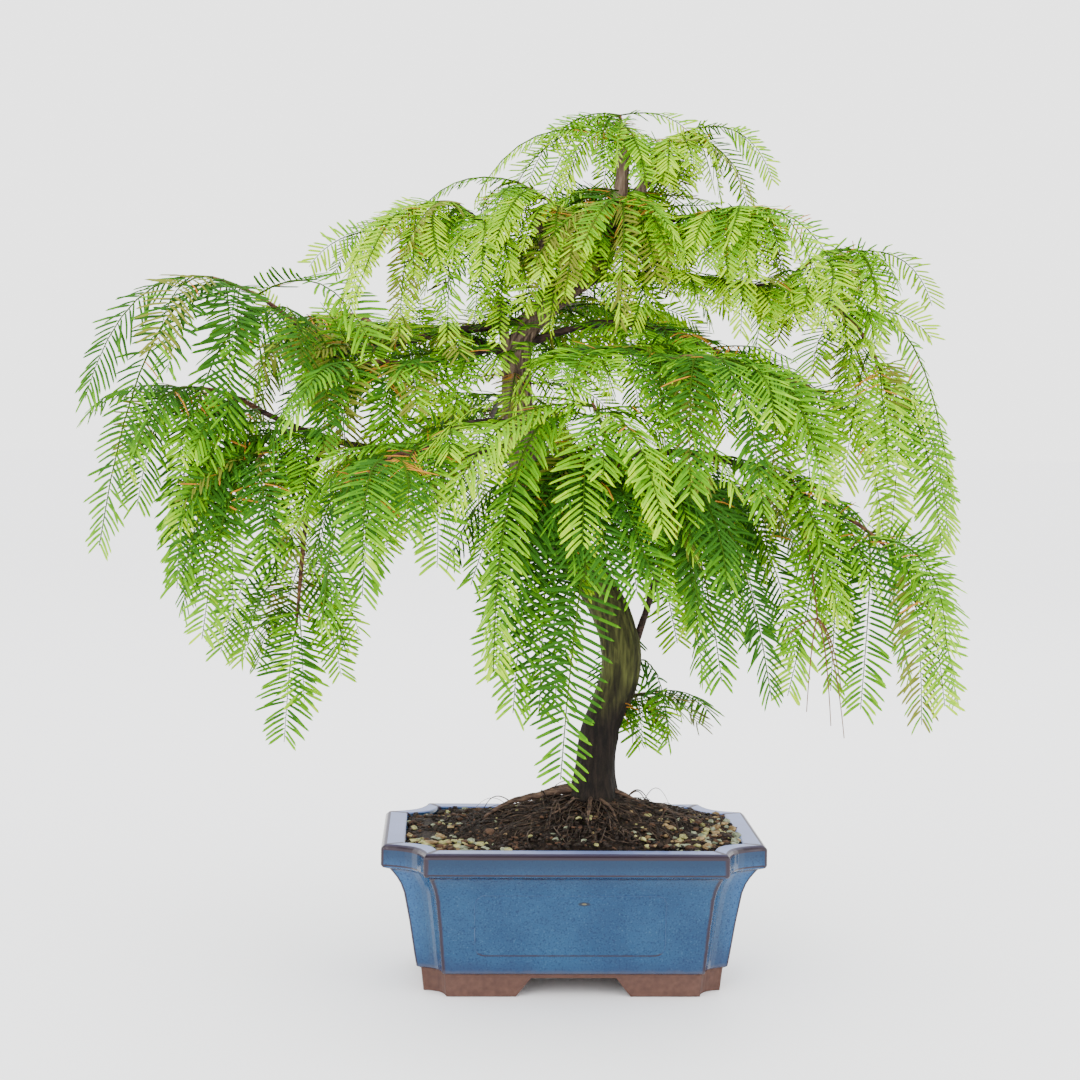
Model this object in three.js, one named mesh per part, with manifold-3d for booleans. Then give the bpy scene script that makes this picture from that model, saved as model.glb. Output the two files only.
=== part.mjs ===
// A weeping bonsai dawn redwood in a glazed rectangular pot with in-cut corners, standing on four feet.
// Millimetres, +Z up. +X is the viewer's right and +Y is away from the viewer. The tree is worked out
// about the centre of the pot's underside, and the whole is then moved so that the origin lies under
// the centre of its bounding box.

import * as THREE from 'three';
import Module from 'manifold-3d';

const wasm = await Module();
wasm.setup();

// ---------------------------------------------------------------- driving sizes

const GAP = 0.3; // clearance between neighbouring solids
const LIMB_GAP = 1.25 * GAP; // what a limb is grown by, so that its flat-sided neighbours stay clear
const TRUNK_LIFT = 1.3 * GAP; // how far the trunk is cut clear of the soil

const RIM_WIDTH = 202; // pot, over the lip
const RIM_DEPTH = 146;
const POT_HEIGHT = 79.5;
const LIP_FLAT = 13; // width of the lip's flat top
const CUT_WIDTH = 22.5; // in-cut corner, along the long side
const CUT_DEPTH = 25; // in-cut corner, along the short side
const CUT_SHRINK = 48; // inset at which the in-cut corners would close
const CUT_STEP = 3; // little step where the corner begins
const CUT_HOLLOW = 3.5; // how far the corner's face bows inwards
const CUT_POINTS = 3; // points along the corner's bowed face
const FLOOR_TOP = 19; // height of the pot's inner floor
const FOOT_HEIGHT = 10; // clear height under the pot between its feet
const FOOT_RING = 9; // thickness of the foot ring
const WINDOW_SLANT = 8.5; // each side of a foot window slants by this much
const WINDOW_LONG = 60; // foot window in the long sides, at the table
const WINDOW_SHORT = 36; // foot window in the short sides, at the table
const DRAIN_RADIUS = 6;
const DRAIN_OFFSET = 42;
const DRAIN_SIDES = 10;

const SOIL_EDGE = 77.5; // height of the soil along the pot's wall
const SOIL_TOP = 98; // height of the flat spot under the trunk
const SOIL_FLAT = 8; // radius of that flat spot
const SOIL_FOOT = 88; // distance from the trunk at which the mound runs out
const SOIL_LUMP = 1.3;
const SOIL_GAP = 0.8; // how much further in than the pot's wall the soil's side lies
const SOIL_RINGS = [1, 0.86, 0.7, 0.54, 0.38, 0.24, 0.12]; // from the pot's wall in to the trunk

const STEM_THICK = 1.9; // radius of a mass's stem at its root
const STEM_THIN = 1.6; // and at its tip
const NEEDLE = 16; // length of a needle in the middle of a frond
const TOOTH_PITCH = 21.4; // spacing of the teeth that stand for the needles
const BARE = 14; // bare length at the root of a frond
const RIB_HALF = 0.7; // half width of a frond's rib
const RIB_HEIGHT = 0.9;
const SWEEP = 33; // degrees that the needles lean forward
const DROOP = 0.16; // how far a needle's tip hangs under its root, as a share of its length
const TIP_SHARE = 0.4; // length of the last needle, as a share of a full one
const SINK = 0.8; // how deep a frond's root sits in its twig

// Bends of the trunk's centre line: height, x, y, radius.
const TRUNK = [
  [SOIL_TOP + TRUNK_LIFT, 11.5, 0, 10.6],
  [132, 15.5, 2, 10.2],
  [164, 26.5, 4, 10.6],
  [192, 22.5, 3, 10.4],
  [220, 6.5, 0, 9.8],
  [244, -13.5, -2, 9.2],
  [278, -26.5, -3, 8.5],
  [313, -31.5, 0, 7.8],
  [344, -28.5, 3, 7],
  [361, -15.5, 4, 5.8],
  [379, 9, 3, 5],
  [408, 20.5, 1, 4.2],
  [444.5, 25, 0, 2.8],
];
const FLARE = 0.5; // share by which the trunk widens at the soil
const FLARE_HEIGHT = 11;
const FLARE_LOBES = 5;
const TRUNK_SIDES = 10;
const TRUNK_STEPS = 21;
const FOOT_RINGS = [0, 5, 12]; // heights of the rings through the flare
const TRUNK_FOOT = 22; // height at which the even rings begin
const BOUGH_SIDES = 5;
const BOUGH_STEPS = 5;
const STUB_STEPS = 2;
const ROOT_STEPS = 5;
const STEM_SIDES = 4;
const STEM_STEPS = 3;

// Dead stubs that stay on the trunk: height on it, heading, reach, lift, rise, root radius, tip radius.
const STUBS = [
  [311, 178, 10, 52, 22, 3.2, 2.2],
  [364, 184, 10, 49, 20, 2.8, 2.6],
];

// Surface roots: heading, reach, height of the middle over the soil, radius.
const ROOTS = [
  [184, 58, 5, 2.3],
  [352, 26, 3, 1.5],
  [262, 40, 0.4, 2.4],
  [290, 34, 0.4, 2],
  [228, 36, 0.8, 1.9],
  [40, 40, 0.6, 2.1],
  [112, 42, 0.6, 2.2],
];

// Boughs: name, what carries it, where (height on the trunk, or share of a bough), heading in degrees,
// reach, lift of the tip, rise of the bend over the root, root radius, tip radius.
const BOUGHS = [
  ['bough_left_upper', 'trunk', 354, 188, 109, -22, -9, 2.5, 1.4],
  ['bough_left_inner', 'trunk', 339, 203, 62, -12, -2, 2.1, 1.2],
  ['bough_left_lower', 'trunk', 287, 183, 138, 16, -18, 2.8, 1.4],
  ['bough_left_twig', 'bough_left_lower', 0.84, 232, 24, -8, 2, 1.3, 1.2],
  ['bough_left_hanging', 'bough_left_lower', 0.76, 190, 11, -56, -12, 1.5, 1.2],
  ['bough_front_left', 'trunk', 296, 234, 90, -12, 10, 2.2, 1.2],
  ['bough_front', 'trunk', 274, 310, 74, -4, 14, 2.4, 1.4],
  ['bough_front_right', 'trunk', 326, 325, 95, 6, 20, 2.2, 1.3],
  ['bough_right_upper', 'trunk', 374, 354, 103, -7, 10, 2.4, 1.4],
  ['bough_right_outer', 'bough_right_upper', 0.86, 4, 54, -15, 8, 1.3, 1.2],
  ['bough_right_mid', 'trunk', 338, 352, 128, -16, 34, 2.1, 1.3],
  ['bough_right_lower', 'trunk', 262, 351, 150, -4, 46, 2.5, 1.4],
  ['bough_right_shoulder', 'trunk', 394, 342, 58, 16, 14, 1.7, 1.2],
  ['bough_top_right', 'trunk', 398, 0, 26, 49, 14, 3, 2.8],
  ['bough_shoulder', 'trunk', 369, 193, 62, 44, 24, 1.8, 1.2],
  ['bough_back_left', 'trunk', 330, 136, 104, 18, 26, 2.2, 1.3],
  ['bough_back', 'trunk', 306, 96, 108, -6, 16, 2.4, 1.3],
  ['bough_back_right', 'trunk', 350, 62, 112, 8, 22, 2.2, 1.3],
  ['bough_back_low_right', 'trunk', 256, 32, 104, 6, 22, 2.1, 1.2],
  ['bough_back_low_left', 'trunk', 276, 126, 96, 4, 12, 2.1, 1.2],
  ['side_shoot', 'trunk', 146, 14, 36, 104, 34, 2.2, 1.3],
];

// Masses of foliage. Stem: name, what carries it, where, heading, reach, lift, rise. Then the number of
// fronds that the seeded rule adds, their length, how far they spread from the stem's heading, and seed.
// Leading fronds: share of the stem, heading, reach, lift, rise of the bend, and, where it isn't the
// heading, the direction that the frond's upper face looks to.
const MASSES = [
  {
    stem: ['left_tip', 'bough_left_upper', 1, 184, 62, 41, 34], fill: [2, 78, 120, 11],
    leads: [[0.3, 308, 50, -95, 6], [0.62, 332, 70, -26, 24, 288], [0.92, 282, 34, -70, 6],
      [1, 187, 66, -64, 7, 240], [0.8, 197, 72, -136, 12, 225], [0.45, 205, 60, -120, 8, 235]],
  },
  {
    stem: ['left_mid', 'bough_left_lower', 1, 182, 42, 12, 14], fill: [2, 76, 75, 12],
    leads: [[1, 182, 50, -15, 6], [0.85, 215, 34, -62, 6, 245], [0.4, 265, 34, -70, 6],
      [0.75, 246, 26, -104, 2, 262], [0.25, 232, 30, -104, 0, 280]],
  },
  {
    stem: ['left_curtain', 'bough_left_twig', 1, 232, 16, -12, -2], fill: [1, 70, 90, 13],
    leads: [[0.5, 205, 44, -64, 6, 240], [1, 250, 22, -74, 2], [0.8, 300, 26, -60, 4],
      [0.9, 218, 32, -88, 2, 250], [0.7, 192, 40, -80, 4, 235]],
  },
  {
    stem: ['left_low', 'bough_left_hanging', 1, 240, 6, -42, -20], fill: [1, 62, 150, 14],
    leads: [[1, 245, 14, -62, -8], [0.75, 288, 14, -52, -4], [0.05, 188, 44, -56, 4, 225],
      [0.3, 200, 34, -50, 0], [0.5, 335, 28, -36, 2]],
  },
  {
    stem: ['left_inner', 'bough_left_inner', 1, 205, 36, 0, 6], fill: [2, 74, 80, 15],
    leads: [[0.3, 276, 36, -52, 6], [1, 200, 44, -50, 6, 240]],
  },
  {
    stem: ['left_belly', 'bough_front_left', 1, 225, 34, -10, 2], fill: [2, 78, 80, 16],
    leads: [[0.1, 300, 26, -56, 4], [1, 228, 32, -72, 6], [0.6, 245, 28, -66, 6], [0.9, 258, 18, -54, 2]],
  },
  {
    stem: ['front_shoot', 'bough_front', 1, 233, 30, 40, 22], fill: [2, 74, 110, 17],
    leads: [[0.95, 197, 76, -50, 10, 235], [0.96, 210, 58, -130, 12, 240], [0.9, 345, 72, -40, 12, 300],
      [0.6, 300, 44, -30, 10], [0.75, 250, 30, -60, 8, 265], [0.85, 20, 50, -36, 8, 300]],
  },
  {
    stem: ['front_hanging', 'bough_front', 0.86, 271, 28, -2, 6], fill: [1, 70, 80, 45],
    leads: [[1, 190, 27, -152, 8, 266], [0.8, 196, 62, -72, 6, 262], [0.5, 330, 50, -70, 6]],
  },
  {
    stem: ['front_low', 'bough_front', 0.62, 236, 24, -12, 2], fill: [1, 76, 70, 38],
    leads: [[1, 206, 38, -96, 4, 262], [0.7, 262, 12, -94, 0, 272], [0.3, 214, 30, -78, 2, 255],
      [0.9, 230, 20, -118, 2, 266], [1, 218, 32, -114, 2, 258], [0.5, 236, 16, -124, 0, 275]],
  },
  {
    stem: ['front_right_hanging', 'bough_front', 0.78, 352, 22, 4, 4], fill: [1, 80, 60, 19],
    leads: [[1, 352, 68, -122, 6, 290], [0.6, 320, 46, -84, 4], [0.9, 338, 46, -112, 4, 285]],
  },
  {
    stem: ['front_right', 'bough_front_right', 1, 330, 38, -4, 6], fill: [2, 78, 85, 20],
    leads: [[0.2, 282, 34, -66, 6], [0.8, 300, 34, -76, 6], [1, 338, 46, -62, 6, 300]],
  },
  {
    stem: ['right_high', 'bough_right_upper', 1, 352, 42, 24, 30], fill: [2, 58, 100, 21],
    leads: [[1, 2, 42, -28, 4, 325], [0.8, 268, 26, -48, 6], [0.25, 232, 44, -50, 8],
      [0.55, 318, 36, -50, 6, 300]],
  },
  {
    stem: ['right_far', 'bough_right_outer', 1, 355, 24, -42, -10], fill: [1, 70, 130, 22],
    leads: [[0.05, 358, 58, -98, 22, 320], [0.55, 236, 34, -68, 6], [1, 262, 28, -70, 2],
      [1, 335, 30, -80, 4, 290], [0.9, 350, 36, -86, 8, 295]],
  },
  {
    stem: ['right_mid', 'bough_right_mid', 1, 350, 40, -14, 6], fill: [2, 70, 100, 39],
    leads: [[1, 345, 28, -70, 6, 285], [0.6, 285, 24, -86, 4], [0.2, 270, 26, -78, 4, 290]],
  },
  {
    stem: ['right_low', 'bough_right_lower', 1, 346, 42, -27, -6], fill: [1, 90, 80, 23],
    leads: [[1, 350, 34, -76, -2], [0.3, 250, 18, -92, 2], [0.62, 258, 24, -92, 2],
      [0.85, 322, 38, -82, 2, 290], [1, 300, 24, -86, 2], [0.1, 225, 30, -98, 4, 270]],
  },
  {
    stem: ['side_hanging', 'side_shoot', 1, 20, 18, 6, 8], fill: [2, 80, 120, 24],
    leads: [[1, 345, 52, -84, 8, 290], [0.6, 30, 50, -80, 8]],
  },
  {
    stem: ['low_shoot', 'trunk', 148, 44, 30, 2, 2], fill: [1, 40, 70, 25],
    leads: [[1, 32, 44, -14, 4, 60], [0.7, 290, 10, -26, 0]],
  },
  {
    stem: ['top_leader', 'trunk', 444, 175, 3, 18, 8], fill: [1, 56, 150, 26],
    leads: [[1, 352, 44, -18, 6, 320], [1, 198, 46, -56, 2, 235], [0.7, 205, 34, -34, 4, 245],
      [0.72, 188, 64, -48, 4, 225], [0.9, 84, 48, -34, 6], [0.8, 136, 50, -40, 6],
      [0.3, 184, 80, -34, 18, 230], [1, 192, 38, -18, 5, 245], [0.85, 178, 50, -34, 12, 230]],
  },
  {
    stem: ['top_right', 'bough_top_right', 1, 2, 14, 7, 5], fill: [1, 52, 110, 27],
    leads: [[1, 355, 38, -12, 10, 320], [0.6, 346, 44, -40, 0, 310], [0.5, 28, 50, -38, 6],
      [0.9, 8, 50, -24, 14, 305]],
  },
  {
    stem: ['top_front', 'trunk', 402, 272, 30, 14, 12], fill: [2, 66, 90, 28],
    leads: [[1, 268, 26, -66, 4], [0.7, 305, 34, -42, 4], [0.6, 226, 42, -50, 6]],
  },
  {
    stem: ['top_left', 'trunk', 392, 194, 50, 33, 22], fill: [2, 60, 90, 29],
    leads: [[0.5, 252, 26, -66, 4], [1, 184, 58, -26, 10, 225], [0.7, 215, 46, -66, 4, 240],
      [0.9, 236, 26, -84, 4, 250], [0.35, 168, 46, -8, 16, 228], [0.62, 160, 42, 0, 12, 230]],
  },
  {
    stem: ['shoulder_left', 'bough_shoulder', 1, 188, 36, -14, 4], fill: [2, 68, 85, 30],
    leads: [[0.15, 272, 30, -74, 6], [1, 183, 42, -20, 0, 225], [0.8, 232, 42, -48, 0],
      [0.5, 250, 34, -72, 2], [1, 205, 28, -44, 0, 250]],
  },
  {
    stem: ['shoulder_right', 'bough_right_shoulder', 1, 335, 22, 2, 4], fill: [2, 60, 100, 31],
    leads: [[0.4, 275, 28, -66, 4], [1, 330, 36, -40, 4, 300], [0.85, 354, 52, -48, 2, 310]],
  },
  {
    stem: ['back_left', 'bough_back_left', 1, 140, 42, 8, 14], fill: [3, 84, 85, 32],
    leads: [[1, 146, 54, -66, 8], [0.5, 190, 56, -62, 8]],
  },
  {
    stem: ['back_mid', 'bough_back', 1, 96, 40, 0, 8], fill: [3, 84, 85, 33],
    leads: [[1, 92, 46, -84, 8], [0.4, 40, 48, -74, 8]],
  },
  {
    stem: ['back_right', 'bough_back_right', 1, 66, 40, 4, 10], fill: [3, 80, 85, 34],
    leads: [[1, 52, 54, -60, 8], [0.5, 16, 58, -58, 8]],
  },
  {
    stem: ['back_low_left', 'bough_back_low_left', 1, 132, 38, -4, 6], fill: [3, 78, 80, 35],
    leads: [[1, 140, 50, -66, 8], [0.5, 100, 50, -64, 8]],
  },
  {
    stem: ['back_low_right', 'bough_back_low_right', 1, 30, 36, -4, 6], fill: [3, 76, 80, 36],
    leads: [[1, 26, 50, -62, 8], [0.5, 70, 50, -62, 8]],
  },
  {
    stem: ['back_top', 'trunk', 410, 98, 34, 16, 16], fill: [3, 68, 100, 37],
    leads: [[1, 96, 44, -50, 8], [0.6, 150, 48, -44, 8]],
  },
];

// ---------------------------------------------------------------- colours

const finish = (color, roughness) => new THREE.MeshStandardMaterial({ color, roughness, metalness: 0 });
const GLAZE = finish(0x3f7aa8, 0.25);
const SOIL = finish(0x3a2a20, 0.95);
const OLD_BARK = finish(0x5a4a3c, 0.9);
const YOUNG_BARK = finish(0x6a4a3a, 0.85);
const NEEDLES = finish(0x5a9a2a, 0.6);

// ---------------------------------------------------------------- small tools

const UP = new THREE.Vector3(0, 0, 1);
const RAD = Math.PI / 180;
const v = (x, y, z) => new THREE.Vector3(x, y, z);
const towards = (degrees) => v(Math.cos(degrees * RAD), Math.sin(degrees * RAD), 0);

/** Random numbers from 0 to 1, the same ones in the same order for the same seed. */
function seeded(seed) {
  let state = Math.imul(seed, 2654435761) >>> 0;
  return () => {
    state = (Math.imul(state, 1664525) + 1013904223) >>> 0;
    return state / 4294967296;
  };
}

/** A solid from points and triangles (index triples), its faces pointing out. */
function solidOf(points, faces) {
  const geometry = new THREE.BufferGeometry().setFromPoints(points).setIndex(faces.flat());
  return new wasm.Manifold(new wasm.Mesh({
    numProp: 3,
    vertProperties: geometry.attributes.position.array,
    triVerts: new Uint32Array(geometry.index.array),
  }));
}

/** A closed solid through rings of equal point counts, each running anticlockwise seen from the last. */
function loft(rings) {
  const count = rings[0].length;
  const points = rings.flat();
  const faces = [];
  for (let ring = 0; ring + 1 < rings.length; ring++) {
    for (let k = 0; k < count; k++) {
      const a = ring * count + k;
      const b = ring * count + (k + 1) % count;
      faces.push([a, b, b + count], [a, b + count, a + count]);
    }
  }
  const cap = (ring, turned) => {
    const centre = points.length;
    const middle = v(0, 0, 0);
    rings[ring].forEach((point) => middle.addScaledVector(point, 1 / count));
    points.push(middle);
    for (let k = 0; k < count; k++) {
      const a = ring * count + k;
      const b = ring * count + (k + 1) % count;
      faces.push(turned ? [centre, b, a] : [centre, a, b]);
    }
  };
  cap(0, true);
  cap(rings.length - 1, false);
  return solidOf(points, faces);
}

/** Rings of a round limb along a curve. side keeps the rings from twisting, radius is a function. */
function limbRings(curve, shares, sides, side, radius) {
  return shares.map((share) => {
    const centre = curve.getPoint(share);
    const along = curve.getTangent(share);
    const a = side.clone().addScaledVector(along, -side.dot(along)).normalize();
    const b = along.clone().cross(a);
    return Array.from({ length: sides }, (_, k) => {
      const turn = (2 * Math.PI * k) / sides;
      const r = radius(share, turn);
      return centre.clone().addScaledVector(a, r * Math.cos(turn)).addScaledVector(b, r * Math.sin(turn));
    });
  });
}

const evenly = (count) => Array.from({ length: count + 1 }, (_, k) => k / count);

/** The largest separate body of a solid. */
function largest(solid) {
  return solid.decompose().reduce((best, body) => (body.volume() > best.volume() ? body : best));
}

/** A quadratic arch from root: out is how far along its reach the bend lies, rise is the bend's height. */
function arch(root, heading, reach, lift, rise, out) {
  const ahead = towards(heading);
  const bend = root.clone().addScaledVector(ahead, reach * out).addScaledVector(UP, rise);
  const tip = root.clone().addScaledVector(ahead, reach).addScaledVector(UP, lift);
  return new THREE.QuadraticBezierCurve3(root, bend, tip);
}

/** Rings with one more beyond the last, moved on along its direction. */
const prolonged = (rings, along, by) => [...rings, rings[rings.length - 1].map((point) => (
  point.clone().addScaledVector(along, by)))];

/** A tapering limb along an arch, thicker and longer all round by grow. */
function limbSolid(curve, heading, root, tip, sides, steps, grow = 0) {
  const radius = (share) => root + (tip - root) * share + grow;
  const rings = limbRings(curve, evenly(steps), sides, towards(heading + 90), radius);
  return loft(grow ? prolonged(rings, curve.getTangent(1), grow) : rings);
}

// ---------------------------------------------------------------- pot and soil

/** Outline of the pot, inset from its lip, at one height: straight lips, and four in-cut corners. */
function potOutline(inset, z) {
  const x = RIM_WIDTH / 2 - inset;
  const y = RIM_DEPTH / 2 - inset;
  const size = 1 - inset / CUT_SHRINK;
  const [width, depth, notch, hollow] = [CUT_WIDTH, CUT_DEPTH, CUT_STEP, CUT_HOLLOW].map((k) => k * size);
  const corner = [[x, y - depth]];
  for (let k = 0; k < CUT_POINTS; k++) {
    const share = k / (CUT_POINTS - 1);
    const bow = hollow * Math.sin(Math.PI * share);
    corner.push([x - notch - (width - notch) * share - bow, y - depth + (depth - notch) * share - bow]);
  }
  corner.push([x - width, y]);
  const back = [...corner].reverse();
  return [
    ...corner,
    ...back.map(([px, py]) => [-px, py]),
    ...corner.map(([px, py]) => [-px, -py]),
    ...back.map(([px, py]) => [px, -py]),
  ].map(([px, py]) => v(px, py, z));
}

const box = (halfX, halfY, z) => [
  v(halfX, -halfY, z), v(halfX, halfY, z), v(-halfX, halfY, z), v(-halfX, -halfY, z),
];

// Outer wall from foot to lip, and inner wall from floor to lip: height and inset from the lip.
const OUTER = [[0, 22.6], [12, 21.2], [13, 18.8], [37, 15], [53, 12], [61, 8.4], [66.4, 4.6],
  [67.4, 0.8], [70, 0], [77.8, 0], [POT_HEIGHT, 1.4]];
const INNER = [[FLOOR_TOP, 29], [46, 23], [66, LIP_FLAT + 2], [POT_HEIGHT - 1, LIP_FLAT]];

function makePot() {
  const outer = loft(OUTER.map(([z, inset]) => potOutline(inset, z)));
  const mouth = [POT_HEIGHT + 1, LIP_FLAT];
  const cavity = loft([...INNER, mouth].map(([z, inset]) => potOutline(inset, z)));
  const recess = loft([-1, FOOT_HEIGHT].map((z) => potOutline(OUTER[0][1] + FOOT_RING, z)));
  const top = FOOT_HEIGHT - 0.5;
  const slope = WINDOW_SLANT / top;
  const below = -1;
  const half = (width, z) => width / 2 - slope * z;
  const windows = [
    loft([below, top].map((z) => box(half(WINDOW_LONG, z), RIM_DEPTH, z))),
    loft([below, top].map((z) => box(RIM_WIDTH, half(WINDOW_SHORT, z), z))),
  ];
  const drains = [-1, 1].map((side) => loft([FOOT_HEIGHT - 1, FLOOR_TOP + 1].map((z) =>
    evenly(DRAIN_SIDES).slice(1).map((share) => {
      const turn = 2 * Math.PI * share;
      return v(side * DRAIN_OFFSET + DRAIN_RADIUS * Math.cos(turn), DRAIN_RADIUS * Math.sin(turn), z);
    }))));
  return [cavity, recess, ...windows, ...drains].reduce((solid, cut) => solid.subtract(cut), outer);
}

const [, FOOT_X, FOOT_Y] = TRUNK[0];

/** Height of the soil: flat under the trunk, a mound running out to the pot's edge, slightly lumpy. */
function soilHeight(x, y) {
  const away = Math.hypot(x - FOOT_X, (y - FOOT_Y) * 1.2);
  const out = THREE.MathUtils.clamp((away - SOIL_FLAT) / (SOIL_FOOT - SOIL_FLAT), 0, 1);
  const lumps = Math.sin(x / 6.1 + 1) * Math.cos(y / 5.3) * SOIL_LUMP * Math.min(1, 4 * out);
  return SOIL_TOP + (SOIL_EDGE - SOIL_TOP) * out + lumps;
}

/** The soil that fills the pot, thicker all round by grow, so that what lies on it can be cut clear. */
function soilSolid(grow = 0) {
  const under = INNER.slice(0, 3).map(([z, inset]) => potOutline(inset + SOIL_GAP - grow, z + GAP - grow));
  const edge = potOutline(LIP_FLAT + 0.8 + SOIL_GAP - grow, 0);
  const top = SOIL_RINGS.map((share) => edge.map((point) => {
    const x = FOOT_X + (point.x - FOOT_X) * share;
    const y = FOOT_Y + (point.y - FOOT_Y) * share;
    return v(x, y, soilHeight(x, y) + grow);
  }));
  return loft([...under, ...top]);
}

// ---------------------------------------------------------------- trunk and boughs

/** The trunk's centre line, smooth through its bends; its share is counted along its height. */
class TrunkLine extends THREE.Curve {
  static low = TRUNK[0][0];

  static high = TRUNK[TRUNK.length - 1][0];

  /** x, y and radius at a height, by cubics whose slopes at each bend run between its neighbours. */
  at(height) {
    const last = TRUNK.length - 1;
    let k = TRUNK.findIndex(([z]) => z > height) - 1;
    if (k < 0) k = last - 1;
    const [a, b] = [TRUNK[k], TRUNK[k + 1]];
    const [before, after] = [TRUNK[Math.max(k - 1, 0)], TRUNK[Math.min(k + 2, last)]];
    const span = b[0] - a[0];
    const u = (height - a[0]) / span;
    return [1, 2, 3].map((axis) => {
      const leave = ((b[axis] - before[axis]) / (b[0] - before[0])) * span;
      const meet = ((after[axis] - a[axis]) / (after[0] - a[0])) * span;
      return a[axis] * (1 + 2 * u) * (1 - u) ** 2 + leave * u * (1 - u) ** 2
        + b[axis] * u * u * (3 - 2 * u) + meet * u * u * (u - 1);
    });
  }

  getPoint(share) {
    const height = TrunkLine.low + (TrunkLine.high - TrunkLine.low) * share;
    const [x, y] = this.at(height);
    return v(x, y, height);
  }

  getTangent(share) {
    if (share < 1e-6) return UP.clone();
    return super.getTangent(share);
  }
}

const trunkLine = new TrunkLine();

function trunkPost(grow = 0) {
  const tall = TrunkLine.high - TrunkLine.low;
  const even = evenly(TRUNK_STEPS).map((k) => TRUNK_FOOT + k * (tall - TRUNK_FOOT));
  const shares = [...FOOT_RINGS, ...even].map((z) => z / tall);
  const radius = (share, turn) => {
    const height = share * tall;
    const lobe = 0.75 + 0.25 * Math.cos(FLARE_LOBES * turn);
    const flare = 1 + FLARE * Math.exp(-height / FLARE_HEIGHT) * lobe;
    return trunkLine.at(height + TrunkLine.low)[2] * flare + grow;
  };
  const rings = limbRings(trunkLine, shares, TRUNK_SIDES, v(0, 1, 0), radius);
  return loft(grow ? prolonged(rings, UP, grow) : rings);
}

/** A root that runs out over the soil, arching up by bulge in its middle, and thins to its end. */
function surfaceRoot([heading, reach, bulge, radius]) {
  const ahead = towards(heading);
  const points = evenly(ROOT_STEPS + 2).map((share) => {
    const x = FOOT_X + ahead.x * reach * share;
    const y = FOOT_Y + ahead.y * reach * share;
    return v(x, y, soilHeight(x, y) + 0.35 * radius + bulge * Math.sin(Math.PI * share));
  });
  const line = new THREE.CatmullRomCurve3(points);
  const taper = (share) => radius * (1.25 - share);
  return loft(limbRings(line, evenly(ROOT_STEPS), BOUGH_SIDES, towards(heading + 90), taper));
}

/** The trunk with its dead stubs, thicker all round by grow. */
function trunkWood(grow = 0) {
  const stubs = STUBS.map(([height, heading, reach, lift, rise, thick, thin]) => {
    const [x, y] = trunkLine.at(height);
    const curve = arch(v(x, y, height), heading, reach, lift, rise, 0.5);
    return limbSolid(curve, heading, thick, thin, BOUGH_SIDES, STUB_STEPS, grow);
  });
  return wasm.Manifold.union([trunkPost(grow), ...stubs]);
}

/** The trunk and its surface roots, cut clear of the soil. */
function makeTrunk(soilClear) {
  const whole = wasm.Manifold.union([trunkWood(), ...ROOTS.map(surfaceRoot)]);
  return largest(whole.subtract(soilClear));
}

/** Every limb by name: its curve, its heading, its solid and the same solid grown by the clearance. */
const limbs = new Map();

function startOn(carrier, place) {
  if (carrier === 'trunk') {
    const [x, y] = trunkLine.at(place);
    return v(x, y, place);
  }
  const { curve } = limbs.get(carrier);
  const past = place === 1 ? 2 * GAP : 0;
  return curve.getPoint(place).addScaledVector(curve.getTangent(place), past);
}

function makeBough([name, carrier, place, heading, reach, lift, rise, thick, thin]) {
  const curve = arch(startOn(carrier, place), heading, reach, lift, rise, 0.5);
  const whole = limbSolid(curve, heading, thick, thin, BOUGH_SIDES, BOUGH_STEPS);
  const solid = largest(whole.subtract(limbs.get(carrier).grown));
  const grown = limbSolid(curve, heading, thick, thin, BOUGH_SIDES, BOUGH_STEPS, LIMB_GAP);
  limbs.set(name, { curve, solid, grown });
}

// ---------------------------------------------------------------- foliage

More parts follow.
